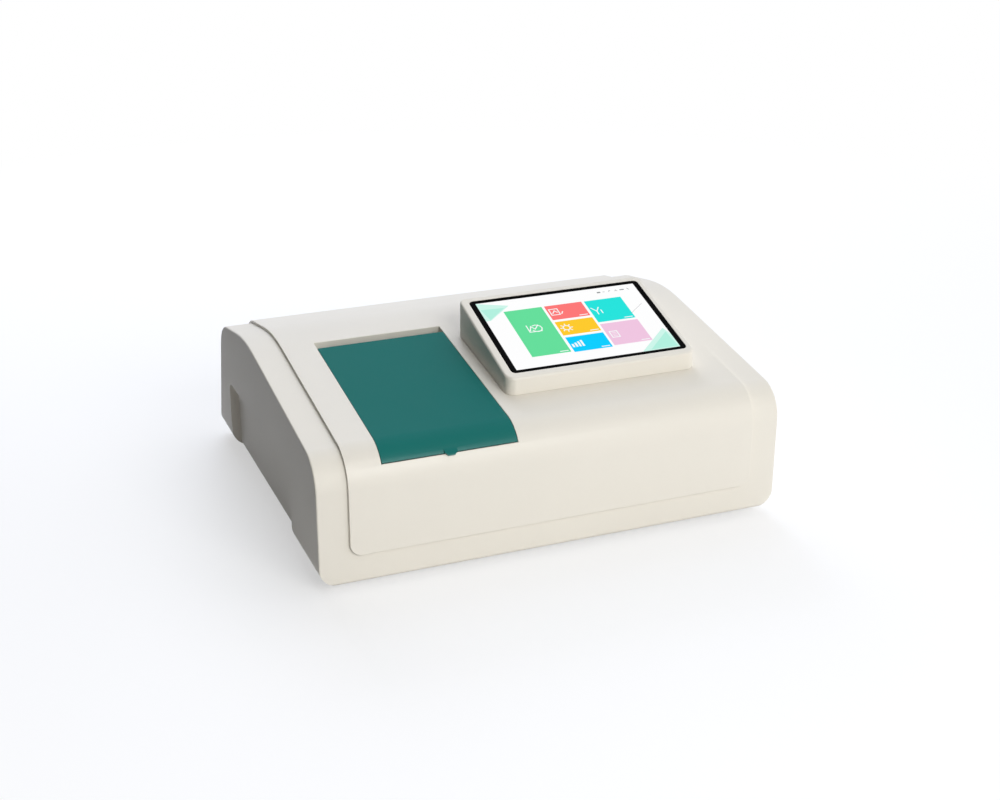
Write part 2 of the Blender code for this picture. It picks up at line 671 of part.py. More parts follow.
def corner_arc(first, second, radius, steps):
    """Points of the round corner between two lines, in the direction of travel."""
    (normal_a, reach_a), (normal_b, reach_b) = first, second
    determinant = normal_a.x * normal_b.y - normal_a.y * normal_b.x
    corner = Vector(((reach_a * normal_b.y - reach_b * normal_a.y) / determinant,
                     (reach_b * normal_a.x - reach_a * normal_b.x) / determinant))
    centre = corner - radius * (normal_a + normal_b) / (1 + normal_a.dot(normal_b))
    start = math.atan2(normal_a.y, normal_a.x)
    sweep = math.atan2(normal_b.y, normal_b.x) - start
    sweep = (sweep + math.pi) % math.tau - math.pi
    return [centre + radius * Vector((math.cos(start + sweep * step / steps),
                                      math.sin(start + sweep * step / steps)))
            for step in range(steps + 1)]


def side_outline(offset):
    """Closed side view of the case, moved outwards by an offset."""
    lines = side_lines(offset)
    radii = (FRONT_BEND_RADIUS, PEAK_RADIUS, REAR_BEND_RADIUS, LOWER_EDGE_RADIUS, LOWER_EDGE_RADIUS)
    steps = (BEND_STEPS, SMALL_STEPS, BEND_STEPS, SMALL_STEPS, SMALL_STEPS)
    outline = []
    for number, radius in enumerate(radii):
        following = lines[(number + 1) % len(lines)]
        rounded = max(radius + offset, MINIMUM_RADIUS)
        outline += corner_arc(lines[number], following, rounded, steps[number])
    return outline


def back_point(rise, offset):
    """Point on the leaning back, a way up it and moved outwards."""
    return Vector((CASE_DEPTH - rise * math.sin(BACK_LEAN) + offset * math.cos(BACK_LEAN),
                   rise * math.cos(BACK_LEAN) + offset * math.sin(BACK_LEAN)))


def over_the_top(offset, front_height, rear_rise):
    """Open path up the front, over the top and down the back."""
    lines = side_lines(offset)
    path = [Vector((-offset, front_height))]
    path += corner_arc(lines[0], lines[1], FRONT_BEND_RADIUS + offset, BEND_STEPS)
    path += corner_arc(lines[1], lines[2], PEAK_RADIUS + offset, SMALL_STEPS)
    path += corner_arc(lines[2], lines[3], REAR_BEND_RADIUS + offset, BEND_STEPS)
    path.append(back_point(rear_rise, offset))
    return path


def over_the_bend(offset, front_angle, rear_run):
    """Open path of the lid: round the front bend, then along the sloping top."""
    centre_height = (SLOPE_FOOT_HEIGHT + FRONT_BEND_RADIUS * math.tan(SLOPE_ANGLE)
                     - FRONT_BEND_RADIUS / math.cos(SLOPE_ANGLE))
    centre = Vector((FRONT_BEND_RADIUS, centre_height))
    last = math.pi / 2 - SLOPE_ANGLE
    path = []
    for step in range(BEND_STEPS + 1):
        turn = front_angle + (last - front_angle) * step / BEND_STEPS
        path.append(centre + (FRONT_BEND_RADIUS + offset)
                    * Vector((-math.cos(turn), math.sin(turn))))
    path.append(slope_point(rear_run, offset))
    return path


def slope_point(run, offset):
    """Point of the side view on the sloping top, a way along it and moved outwards."""
    return Vector((run * math.cos(SLOPE_ANGLE) - offset * math.sin(SLOPE_ANGLE),
                   SLOPE_FOOT_HEIGHT + run * math.sin(SLOPE_ANGLE)
                   + offset * math.cos(SLOPE_ANGLE)))


def band(outer_path, inner_path):
    """Close two paths that run side by side into one outline."""
    return outer_path + inner_path[::-1]


def slope_height(distance, offset):
    """Height of the sloping top, moved outwards, at a distance from the front."""
    return (SLOPE_FOOT_HEIGHT + distance * math.tan(SLOPE_ANGLE)
            + offset / math.cos(SLOPE_ANGLE))


# Case and cover

def foot_round_cutter(side, half_width, low, radius):
    """Tool that rounds one lower side edge along the whole depth."""
    outline = [(side * (half_width - radius + radius * math.cos(turn)),
                low + radius + radius * math.sin(turn))
               for turn in [-math.pi / 2 + math.pi / 2 * step / BEND_STEPS
                            for step in range(BEND_STEPS + 1)]]
    outline += [(side * (half_width + OVERRUN), low + radius),
                (side * (half_width + OVERRUN), low - OVERRUN),
                (side * (half_width - radius), low - OVERRUN)]
    return prism("Y", outline, -OVERRUN, CASE_DEPTH + OVERRUN)


def hand_hold_cutter(side, growth):
    """Tool of one hand hold, grown all round by a wall for the inside of the case."""
    depth = HOLD_DEPTH + growth
    outer = HALF_WIDTH + OVERRUN
    inner = HALF_WIDTH - depth
    radius = HOLD_FOOT_RADIUS
    across = [(side * outer, HOLD_TOP + growth), (side * inner, HOLD_TOP + growth)]
    for step in range(SMALL_STEPS + 1):
        turn = math.pi / 2 * step / SMALL_STEPS
        across.append((side * (inner - radius + radius * math.cos(turn)),
                       growth + radius - radius * math.sin(turn)))
    across += [(side * (inner - radius), -OVERRUN), (side * outer, -OVERRUN)]
    tool = prism("Y", across, HOLD_FRONT - growth, HOLD_REAR + growth)
    corner = HOLD_CORNER_RADIUS + growth
    along = rounded_rectangle((HOLD_FRONT - growth, -2 * OVERRUN),
                              (HOLD_REAR + growth, HOLD_TOP + growth), (0, 0, corner, corner))
    return keep_common(tool, prism("X", along, side * (HALF_WIDTH / 2), side * (outer + OVERRUN)))


def build_lower_case():
    """Cheeks, front band and floor in one moulding, open for the cover and at the back."""
    rings = []
    for step in range(SMALL_STEPS + 1):
        turn = math.pi / 2 * step / SMALL_STEPS
        reach = HALF_WIDTH - CHEEK_EDGE_RADIUS * (1 - math.sin(turn))
        rings.append((reach, CHEEK_EDGE_RADIUS * (math.cos(turn) - 1)))
    stations = [(-reach, offset) for reach, offset in rings[::-1]] + rings
    case = loft([[Vector((reach, point.x, point.y)) for point in side_outline(offset)]
                 for reach, offset in stations])
    inside = prism("X", side_outline(-CASE_WALL), -HALF_WIDTH + CASE_WALL, HALF_WIDTH - CASE_WALL)
    for side in (-1, 1):
        carve(case, foot_round_cutter(side, HALF_WIDTH, 0, SIDE_FOOT_RADIUS))
        carve(case, hand_hold_cutter(side, 0))
        carve(inside, foot_round_cutter(side, HALF_WIDTH - CASE_WALL, CASE_WALL,
                                        SIDE_FOOT_RADIUS - CASE_WALL))
        carve(inside, hand_hold_cutter(side, CASE_WALL))
    carve(case, inside)
    top = SLOPE_FOOT_HEIGHT + CASE_DEPTH
    carve(case, block((-OPENING_HALF_WIDTH, -OVERRUN, BAND_HEIGHT + COVER_OVERLAP),
                      (OPENING_HALF_WIDTH, CASE_DEPTH + OVERRUN, top)))
    carve(case, block((-OPENING_HALF_WIDTH, CASE_DEPTH - OVERRUN, REAR_SILL_HEIGHT),
                      (OPENING_HALF_WIDTH, CASE_DEPTH + OVERRUN, top)))
    return finished(case, "lower_case", CREAM)


def build_main_cover():
    """Cover wrapped over front, top and back, with a locating skirt and the lid's opening."""
    grip = (COVER_PROUD - SEAT_GAP) / 2 + SEAT_GAP
    cover = prism("X", band(over_the_top(COVER_PROUD, BAND_HEIGHT, COVER_REAR_RISE),
                            over_the_top(SEAT_GAP, BAND_HEIGHT, COVER_REAR_RISE)),
                  -COVER_HALF_WIDTH, COVER_HALF_WIDTH)
    for side in (-1, 1):
        carve(cover, corner_waste(side))
    skirt_half = OPENING_HALF_WIDTH - SKIRT_GAP
    skirt_low = BAND_HEIGHT + COVER_OVERLAP + SKIRT_GAP
    skirt_rise = COVER_REAR_RISE + SKIRT_GAP
    skirt = prism("X", band(over_the_top(grip, skirt_low, skirt_rise),
                            over_the_top(-SKIRT_DEPTH, skirt_low, skirt_rise)),
                  -skirt_half, skirt_half)
    inner_low, inner_rise = skirt_low + SKIRT_WALL, skirt_rise + SKIRT_WALL
    carve(skirt, prism("X", band(over_the_top(OVERRUN, inner_low, inner_rise),
                                 over_the_top(-SKIRT_DEPTH - OVERRUN / 2, inner_low, inner_rise)),
                       -skirt_half + SKIRT_WALL, skirt_half - SKIRT_WALL))
    fuse(cover, skirt)
    fuse(cover, lid_opening_tool(SKIRT_WALL, grip, -FLANGE_DEPTH))
    fuse(cover, hinge_well_box(SKIRT_WALL, -HINGE_WELL_DEPTH - SKIRT_WALL, 0))
    carve(cover, lid_opening_tool(0, OVERRUN, -FLANGE_DEPTH - OVERRUN / 2))
    carve(cover, hinge_well_box(0, -HINGE_WELL_DEPTH, OVERRUN))
    for left in BRACKET_PLACES:
        notch_low = (left - RUNNING_GAP, HINGE_WELL_FRONT - OVERRUN, -FLANGE_DEPTH - OVERRUN)
        notch_high = (left + BRACKET_WIDTH + RUNNING_GAP, HINGE_RUN + BRACKET_RADIUS, -FLANGE_DEPTH)
        carve(cover, block(notch_low, notch_high, SLOPE_FRAME))
    screen_middle = ((CONSOLE_LEFT + CONSOLE_RIGHT) / 2, (CONSOLE_FRONT + CONSOLE_REAR) / 2)
    carve(cover, rod("Z", screen_middle, CABLE_HOLE_RADIUS, BAND_HEIGHT,
                     SLOPE_FOOT_HEIGHT + CASE_DEPTH, SMALL_SIDES))
    return finished(cover, "main_cover", CREAM_COVER)


def corner_waste(side):
    """Tool that rounds one lower front corner of the cover."""
    radius = COVER_CORNER_RADIUS
    outer = COVER_HALF_WIDTH + OVERRUN
    low = BAND_HEIGHT
    outline = [(side * (COVER_HALF_WIDTH - radius + radius * math.cos(turn)),
                low + radius - radius * math.sin(turn))
               for turn in [math.pi / 2 * step / BEND_STEPS for step in range(BEND_STEPS + 1)]]
    outline += [(side * (COVER_HALF_WIDTH - radius), low - OVERRUN), (side * outer, low - OVERRUN),
                (side * outer, low + radius)]
    return prism("Y", outline, -OVERRUN, FRONT_BEND_RADIUS)


def lid_opening_tool(growth, upper, lower):
    """Band of the lid's opening, grown sideways, between two offsets of the cover's surface."""
    gap = LID_SIDE_GAP + growth
    angle = LID_FRONT_ANGLE - gap / FRONT_BEND_RADIUS
    run = LID_REAR_RUN + LID_REAR_SLOT + growth
    return prism("X", band(over_the_bend(upper, angle, run), over_the_bend(lower, angle, run)),
                 LID_LEFT - gap, LID_RIGHT + gap)


def hinge_well_box(growth, floor, front_overrun):
    """Well behind the lid that its rear edge dips into, open towards the tub."""
    gap = LID_SIDE_GAP + growth
    return block((LID_LEFT - gap, HINGE_WELL_FRONT - front_overrun, floor),
                 (LID_RIGHT + gap, LID_REAR_RUN + LID_REAR_SLOT + growth, 0), SLOPE_FRAME)


def build_rear_panel():
    """Sheet panel behind the case's back opening, with its vents and cut-outs."""
    outline = rounded_rectangle((-PANEL_HALF_WIDTH, PANEL_LOW), (PANEL_HALF_WIDTH, PANEL_HIGH),
                                (FAN_CORNER,) * 4)
    panel = prism("Z", outline, PANEL_BACK, PANEL_FACE, BACK_FRAME)
    low, high = PANEL_BACK - OVERRUN / 2, PANEL_FACE + OVERRUN / 2
    for index in range(VENT_COUNT):
        spread = FAN_SIZE / 2 + VENT_FAN_GAP + index * VENT_PITCH
        for place in (FAN_CENTRE - spread, FAN_CENTRE + spread):
            carve(panel, slot_tool(place, FEATURE_RISE, VENT_WIDTH, VENT_LENGTH, low, high))
    carve(panel, rod("Z", (FAN_CENTRE, FEATURE_RISE), FAN_BORE_RADIUS, low, high,
                     ROUND_SIDES, BACK_FRAME))
    holes = (
        (INLET_CENTRE, INLET_BODY_WIDTH, INLET_BODY_HEIGHT),
        (SWITCH_CENTRE, SWITCH_BODY_WIDTH, SWITCH_BODY_HEIGHT),
        (USB_CENTRE, USB_WIDTH, USB_HEIGHT),
        (SERIAL_CENTRE, SERIAL_SHELL_WIDTH, SERIAL_SHELL_HEIGHT),
    )
    for centre, width, height in holes:
        half_width, half_height = width / 2 + SEAT_GAP, height / 2 + SEAT_GAP
        carve(panel, block((centre - half_width, FEATURE_RISE - half_height, low),
                           (centre + half_width, FEATURE_RISE + half_height, high), BACK_FRAME))
    return finished(panel, "rear_panel", SHEET_METAL)


def slot_tool(centre, rise, width, length, low, high):
    """Tool of one upright slot with round ends in the rear panel."""
    radius = width / 2
    outline = rounded_rectangle((centre - radius, rise - length / 2),
                                (centre + radius, rise + length / 2), (radius,) * 4, 2)
    return prism("Z", outline, low, high, BACK_FRAME)


def build_feet():
    """Four rubber feet with a recess for their screws."""
    for side, side_name in ((-1, "left"), (1, "right")):
        for distance, end_name in ((FOOT_FRONT, "front"), (FOOT_REAR, "rear")):
            frame = Matrix.Translation((side * (HALF_WIDTH - FOOT_INSET_X), distance, -FOOT_HEIGHT))
            foot = turned([(FOOT_TREAD_RADIUS, 0), (FOOT_RADIUS, FOOT_HEIGHT - FOOT_RECESS_DEPTH),
                           (FOOT_RADIUS, FOOT_HEIGHT - SEAT_GAP)], frame)
            recess = turned([(FOOT_RECESS_RADIUS, -OVERRUN), (FOOT_RECESS_RADIUS, FOOT_RECESS_DEPTH)],
                            frame, SMALL_SIDES)
            carve(foot, recess)
            finished(foot, f"foot_{end_name}_{side_name}", BLACK_RUBBER)


# Lid and its hinge

HINGE_POINT = slope_point(HINGE_RUN, -HINGE_DROP)


def hinge_pivot():
    """Middle of the lid's hinge axis."""
    return Vector((LID_CENTRE_X, HINGE_POINT.x, HINGE_POINT.y))


def build_sample_lid():
    """Lid plate bent over the front, with side rims, finger tab and hinge ears."""
    under = COVER_PROUD - LID_THICKNESS
    lid = prism("X", band(over_the_bend(COVER_PROUD, LID_FRONT_ANGLE, LID_REAR_RUN),
                          over_the_bend(-LID_RIM_DEPTH, LID_FRONT_ANGLE, LID_REAR_RUN)),
                LID_LEFT, LID_RIGHT)
    below = -LID_RIM_DEPTH - OVERRUN / 2
    carve(lid, prism("X", band(lengthened(over_the_bend(under, LID_FRONT_ANGLE, LID_REAR_RUN)),
                               lengthened(over_the_bend(below, LID_FRONT_ANGLE, LID_REAR_RUN))),
                     LID_LEFT + LID_RIM_WALL, LID_RIGHT - LID_RIM_WALL))
    carve(lid, block((LID_LEFT - OVERRUN, LID_REAR_RUN - HINGE_EAR_INSET, below),
                     (LID_RIGHT + OVERRUN, LID_REAR_RUN + OVERRUN, under), SLOPE_FRAME))
    fuse(lid, finger_tab())
    grip = (COVER_PROUD + under) / 2
    for left in EAR_PLACES:
        outline = [slope_point(HINGE_RUN - HINGE_EAR_RADIUS, grip)]
        for step in range(BEND_STEPS + 1):
            turn = math.pi + SLOPE_ANGLE + math.pi * step / BEND_STEPS
            outline.append(HINGE_POINT + HINGE_EAR_RADIUS * Vector((math.cos(turn), math.sin(turn))))
        outline.append(slope_point(HINGE_RUN + HINGE_EAR_RADIUS - SEAT_GAP, grip))
        fuse(lid, prism("X", outline, left, left + HINGE_EAR_WIDTH))
    carve(lid, rod("X", HINGE_POINT, HINGE_BORE_RADIUS, LID_LEFT - OVERRUN, LID_RIGHT + OVERRUN,
                   SMALL_SIDES))
    return finished(lid, "sample_lid", TEAL, hinge_pivot())


def lengthened(path):
    """Path carried straight on past both its ends."""
    start = path[0] + (path[0] - path[1]).normalized() * OVERRUN
    end = path[-1] + (path[-1] - path[-2]).normalized() * OVERRUN
    return [start] + path + [end]


def finger_tab():
    """Small tongue that grows out of the lid's front edge and hangs clear of the cover."""
    outward = Vector((-math.cos(LID_FRONT_ANGLE), math.sin(LID_FRONT_ANGLE)))
    down = Vector((-outward.y, outward.x))
    edge = over_the_bend(COVER_PROUD, LID_FRONT_ANGLE, LID_REAR_RUN)[0]
    lift = 2 * SEAT_GAP
    rings = []
    for width, drop, inner, outer in (
            (TAB_WIDTH, -2 * TAB_REACH, -LID_THICKNESS, -LID_THICKNESS / 2),
            (TAB_WIDTH, 0, lift, TAB_THICKNESS),
            (TAB_TIP_WIDTH, TAB_REACH, lift, TAB_THICKNESS)):
        low, high = edge + drop * down + inner * outward, edge + drop * down + outer * outward
        rings.append([Vector((LID_CENTRE_X + side * width / 2, point.x, point.y))
                      for side, point in ((-1, low), (1, low), (1, high), (-1, high))])
    return loft(rings)


def build_hinge():
    """Hinge pin and the two brackets that carry it behind the compartment tub."""
    pin = rod("X", HINGE_POINT, HINGE_PIN_RADIUS, PIN_LEFT, PIN_RIGHT, SMALL_SIDES)
    finished(pin, "lid_hinge_pin", STEEL)
    back = TUB_REAR + SEAT_GAP
    front_of_arm = back + BRACKET_PLATE
    low = HINGE_POINT.y - BRACKET_FOOT_HEIGHT
    outline = [(back, low), (front_of_arm, low)]
    for step in range(BEND_STEPS + 1):
        turn = -math.pi / 4 + math.pi * step / BEND_STEPS
        outline.append((HINGE_POINT.x + BRACKET_RADIUS * math.cos(turn),
                        HINGE_POINT.y + BRACKET_RADIUS * math.sin(turn)))
    outline.append((back, HINGE_POINT.y - BRACKET_RADIUS))
    reach = BRACKET_FOOT_WIDTH / 2
    for left, name in zip(BRACKET_PLACES, ("hinge_bracket_left", "hinge_bracket_right")):
        right = left + BRACKET_WIDTH
        bracket = prism("X", outline, left, right)
        middle = min(max((left + right) / 2, TUB_LEFT + reach), TUB_RIGHT - reach)
        fuse(bracket, block((middle - reach, back, low),
                            (middle + reach, front_of_arm, HINGE_POINT.y - 2 * BRACKET_RADIUS)))
        carve(bracket, rod("X", HINGE_POINT, HINGE_BORE_RADIUS, left - OVERRUN, right + OVERRUN,
                           SMALL_SIDES))
        finished(bracket, name, STEEL)


# Sample compartment

def build_tub():
    """Black compartment tub with a sloping lipped rim, two beam holes and the screw's passage."""
    rim_front = slope_height(TUB_FRONT, TUB_RIM)
    rim_rear = slope_height(TUB_REAR, TUB_RIM)
    tub = prism("X", [(TUB_FRONT, STAND_HEIGHT), (TUB_REAR, STAND_HEIGHT), (TUB_REAR, rim_rear),
                      (TUB_FRONT, rim_front)], TUB_LEFT, TUB_RIGHT)
    lip = block((PIN_LEFT, TUB_FRONT_RUN - TUB_LIP_WIDTH, TUB_RIM - TUB_LIP_THICKNESS),
                (PIN_RIGHT, TUB_REAR_RUN, TUB_RIM), SLOPE_FRAME)
    fuse(tub, lip)
    high = slope_height(TUB_REAR, OVERRUN)
    carve(tub, block((TUB_LEFT + TUB_WALL, TUB_FRONT + TUB_WALL, STAND_HEIGHT + TUB_WALL),
                     (TUB_RIGHT - TUB_WALL, TUB_REAR - TUB_WALL, high)))
    carve(tub, rod("X", (BEAM_DISTANCE, BEAM_HEIGHT), BEAM_HOLE_RADIUS, TUB_LEFT - OVERRUN,
                   TUB_RIGHT + OVERRUN))
    carve(tub, rod("Y", (LID_CENTRE_X, RAIL_HEIGHT), SCREW_PASSAGE_RADIUS, TUB_REAR - OVERRUN,
                   TUB_REAR + OVERRUN, SMALL_SIDES))
    finished(tub, "sample_tub", BLACK_PLASTIC)
    for low, name in ((TUB_LEFT - SEAT_GAP - WINDOW_THICKNESS, "beam_window_left"),
                      (TUB_RIGHT + SEAT_GAP, "beam_window_right")):
        window = rod("X", (BEAM_DISTANCE, BEAM_HEIGHT), WINDOW_RADIUS, low, low + WINDOW_THICKNESS)
        finished(window, name, CLEAR_GLASS)
    gasket_low = TUB_RIM + SEAT_GAP
    front = TUB_FRONT_RUN - TUB_LIP_WIDTH
    gasket = block((PIN_LEFT, front, gasket_low),
                   (PIN_RIGHT, TUB_REAR_RUN, gasket_low + GASKET_THICKNESS), SLOPE_FRAME)
    carve(gasket, block((PIN_LEFT + GASKET_WIDTH, front + GASKET_WIDTH, gasket_low - OVERRUN),
                        (PIN_RIGHT - GASKET_WIDTH, TUB_REAR_RUN - GASKET_WIDTH, gasket_low + OVERRUN),
                        SLOPE_FRAME))
    finished(gasket, "lid_gasket", BLACK_RUBBER)


def build_cell_changer():
    """Four-place cell holder on a carriage, its guide rods, drive screw and motor."""
    front, rear = HOLDER_FRONT, HOLDER_REAR
    carriage = block((LID_CENTRE_X - CARRIAGE_WIDTH / 2, front, CARRIAGE_LOW),
                     (LID_CENTRE_X + CARRIAGE_WIDTH / 2, rear, CARRIAGE_HIGH))
    for side in (-1, 1):
        carve(carriage, rod("Y", (LID_CENTRE_X + side * RAIL_SPREAD, RAIL_HEIGHT), RAIL_BORE_RADIUS,
                            front - OVERRUN, rear + OVERRUN, SMALL_SIDES))
    carve(carriage, rod("Y", (LID_CENTRE_X, RAIL_HEIGHT), SCREW_BORE_RADIUS, front - OVERRUN,
                        rear + OVERRUN, SMALL_SIDES))
    pivot = (LID_CENTRE_X, HOLDER_FRONT, RAIL_HEIGHT)
    finished(carriage, "cell_carriage", ALUMINIUM, pivot)
    holder = block((LID_CENTRE_X - HOLDER_WIDTH / 2, front, CARRIAGE_HIGH + SEAT_GAP),
                   (LID_CENTRE_X + HOLDER_WIDTH / 2, rear, HOLDER_TOP))
    for index in range(CELL_COUNT):
        middle = BEAM_DISTANCE + index * CELL_PITCH
        half = CELL_SIZE / 2
        carve(holder, block((LID_CENTRE_X - half, middle - half, BEAM_HEIGHT - CELL_FLOOR_DROP),
                            (LID_CENTRE_X + half, middle + half, HOLDER_TOP + OVERRUN)))
        carve(holder, block((LID_CENTRE_X - HOLDER_WIDTH, middle - HOLDER_WINDOW_WIDTH / 2,
                             BEAM_HEIGHT - HOLDER_WINDOW_HEIGHT / 2),
                            (LID_CENTRE_X + HOLDER_WIDTH, middle + HOLDER_WINDOW_WIDTH / 2,
                             BEAM_HEIGHT + HOLDER_WINDOW_HEIGHT / 2)))
    finished(holder, "cell_holder", BLACK_ANODISED, pivot)
    inner_front = TUB_FRONT + TUB_WALL + SEAT_GAP
    inner_rear = TUB_REAR - TUB_WALL - SEAT_GAP
    for side, name in ((-1, "guide_rod_left"), (1, "guide_rod_right")):
        guide = rod("Y", (LID_CENTRE_X + side * RAIL_SPREAD, RAIL_HEIGHT), RAIL_RADIUS,
                    inner_front, inner_rear, SMALL_SIDES)
        finished(guide, name, STEEL)
    motor_front = TUB_REAR + SEAT_GAP
    screw = rod("Y", (LID_CENTRE_X, RAIL_HEIGHT), SCREW_RADIUS, inner_front, motor_front, SMALL_SIDES)
    finished(screw, "cell_drive_screw", STEEL, (LID_CENTRE_X, inner_front, RAIL_HEIGHT))
    motor = stepper_motor("Y", (LID_CENTRE_X, RAIL_HEIGHT), motor_front + SEAT_GAP, MOTOR_SIZE,
                          MOTOR_LENGTH)
    low = RAIL_HEIGHT - MOTOR_SIZE / 2
    foot_front = motor_front + 2 * SEAT_GAP + MOTOR_BOSS_LENGTH
    fuse(motor, block((LID_CENTRE_X - MOTOR_SIZE / 4, foot_front, STAND_HEIGHT),
                      (LID_CENTRE_X + MOTOR_SIZE / 4, foot_front + MOTOR_LENGTH / 2, low + MOTOR_CORNER)))
    finished(motor, "cell_drive_motor", BLACK_ANODISED)


def stepper_motor(axis, centre, face, size, length):
    """Square stepper motor with chamfered corners and a round boss on its front face."""
    half = size / 2
    cut = MOTOR_CORNER
    outline = []
    for x, y in SQUARE:
        first = (centre[0] + x * half, centre[1] + y * (half - cut))
        second = (centre[0] + x * (half - cut), centre[1] + y * half)
        outline += [first, second] if x * y > 0 else [second, first]
    body = prism(axis, outline, face + MOTOR_BOSS_LENGTH, face + length)
    return fuse(body, rod(axis, centre, min(MOTOR_BOSS_RADIUS, half - cut), face,
                          face + 2 * MOTOR_BOSS_LENGTH))


# Optics

def beam_frame(x):
    """Frame on the beam whose Z axis runs along +X."""
    return (Matrix.Translation((x, BEAM_DISTANCE, BEAM_HEIGHT))
            @ Matrix.Rotation(math.pi / 2, 4, "Y"))


def lens_profile(radius, thickness, edge):
    """Half section of a lens that bulges on both faces."""
    bulge = (thickness - edge) / 2
    profile = []
    for step in range(SMALL_STEPS + 1):
        share = step / SMALL_STEPS
        profile.append((radius * share, -edge / 2 - bulge * (1 - share * share)))
    for step in range(SMALL_STEPS, -1, -1):
        share = step / SMALL_STEPS
        profile.append((radius * share, edge / 2 + bulge * (1 - share * share)))
    return profile


def build_detector():
    """Detector block on its foot, with lens, photodiode and preamplifier board."""
    right = PIN_LEFT - DETECTOR_GAP
    left = right - DETECTOR_WIDTH
    front, rear = BEAM_DISTANCE - DETECTOR_HALF_LENGTH, BEAM_DISTANCE + DETECTOR_HALF_LENGTH
    foot_top = STAND_HEIGHT + DETECTOR_FOOT_HEIGHT
    profile = [(0, STAND_HEIGHT), (0, foot_top), (DETECTOR_WAIST, foot_top + DETECTOR_WAIST),
               (DETECTOR_WAIST, DETECTOR_WAIST_TOP), (0, DETECTOR_WAIST_TOP + DETECTOR_WAIST),
               (0, DETECTOR_TOP)]
    outline = [(front + inset, height) for inset, height in profile]
    outline += [(rear - inset, height) for inset, height in profile[::-1]]
    housing = prism("X", outline, left, right)
    carve(housing, rod("X", (BEAM_DISTANCE, BEAM_HEIGHT), DETECTOR_BORE_RADIUS,
                       right - DETECTOR_BORE_DEPTH, right + OVERRUN))
    finished(housing, "detector_housing", BLACK_ANODISED)
    lens = turned(lens_profile(LENS_RADIUS, LENS_THICKNESS, LENS_EDGE),
                  beam_frame(right - LENS_THICKNESS))
    finished(lens, "detector_lens", CLEAR_GLASS)
    seat = right - DETECTOR_BORE_DEPTH + SEAT_GAP
    diode = turned([(DIODE_RADIUS, 0), (DIODE_RADIUS, DIODE_FLANGE), (DIODE_CAN_RADIUS, DIODE_FLANGE),
                    (DIODE_CAN_RADIUS, DIODE_LENGTH)], beam_frame(seat))
    finished(diode, "photodiode", STEEL)
    face = left - SEAT_GAP
    low, high = DETECTOR_TOP - DETECTOR_BOARD_HEIGHT, DETECTOR_TOP
    half = DETECTOR_BOARD_HALF_LENGTH
    board = block((face - BOARD_THICKNESS, BEAM_DISTANCE - half, low), (face, BEAM_DISTANCE + half, high))
    chip_left = face - BOARD_THICKNESS - CHIP_HEIGHT
    fuse(board, block((chip_left, BEAM_DISTANCE - half / 2, BEAM_HEIGHT - half / 2),
                      (face - BOARD_THICKNESS / 2, BEAM_DISTANCE + half / 2, BEAM_HEIGHT + half / 2)))
    finished(board, "detector_board", CIRCUIT_GREEN)


def build_monochromator():
    """Open box with its cover and the two slit plates on its ports."""
    low = STAND_HEIGHT
    radius = MONO_CORNER_RADIUS
    outline = rounded_rectangle((MONO_LEFT, MONO_FRONT), (MONO_RIGHT, MONO_REAR), (radius,) * 4)
    housing = prism("Z", outline, low, MONO_TOP)
    wall = MONO_WALL
    inner = rounded_rectangle((MONO_LEFT + wall, MONO_FRONT + wall),
                              (MONO_RIGHT - wall, MONO_REAR - wall), (radius - wall,) * 4)
    carve(housing, prism("Z", inner, low + wall, MONO_TOP + OVERRUN))
    half_width, half_height = PORT_WIDTH / 2, PORT_HEIGHT / 2
    carve(housing, block((MONO_LEFT - OVERRUN, BEAM_DISTANCE - half_width, BEAM_HEIGHT - half_height),
                         (MONO_LEFT + 2 * wall, BEAM_DISTANCE + half_width, BEAM_HEIGHT + half_height)))
    carve(housing, block((LAMP_AXIS_X - half_width, MONO_REAR - 2 * wall, BEAM_HEIGHT - half_height),
                         (LAMP_AXIS_X + half_width, MONO_REAR + OVERRUN, BEAM_HEIGHT + half_height)))
    finished(housing, "monochromator_housing", ALUMINIUM)
    cover = prism("Z", outline, MONO_TOP + SEAT_GAP, MONO_TOP + SEAT_GAP + MONO_LID_THICKNESS)
    finished(cover, "monochromator_cover", BLACK_ANODISED)
    build_slit("exit_slit", (MONO_LEFT - SEAT_GAP - SLIT_PLATE_THICKNESS, BEAM_DISTANCE), "X")
    build_slit("entrance_slit", (LAMP_AXIS_X, MONO_REAR + SEAT_GAP), "Y")


def build_slit(name, place, axis):
    """Thin square plate with an upright slit, square to an axis and placed in plan."""
    half = SLIT_PLATE_SIZE / 2
    middle, start = (place[1], place[0]) if axis == "X" else place
    outline = [(middle + x * half, BEAM_HEIGHT + y * half) for x, y in SQUARE]
    slit = [(middle + x * SLIT_WIDTH / 2, BEAM_HEIGHT + y * SLIT_HEIGHT / 2) for x, y in SQUARE]
    plate = prism(axis, outline, start, start + SLIT_PLATE_THICKNESS)
    carve(plate, prism(axis, slit, start - OVERRUN, start + OVERRUN))
    finished(plate, name, STEEL)


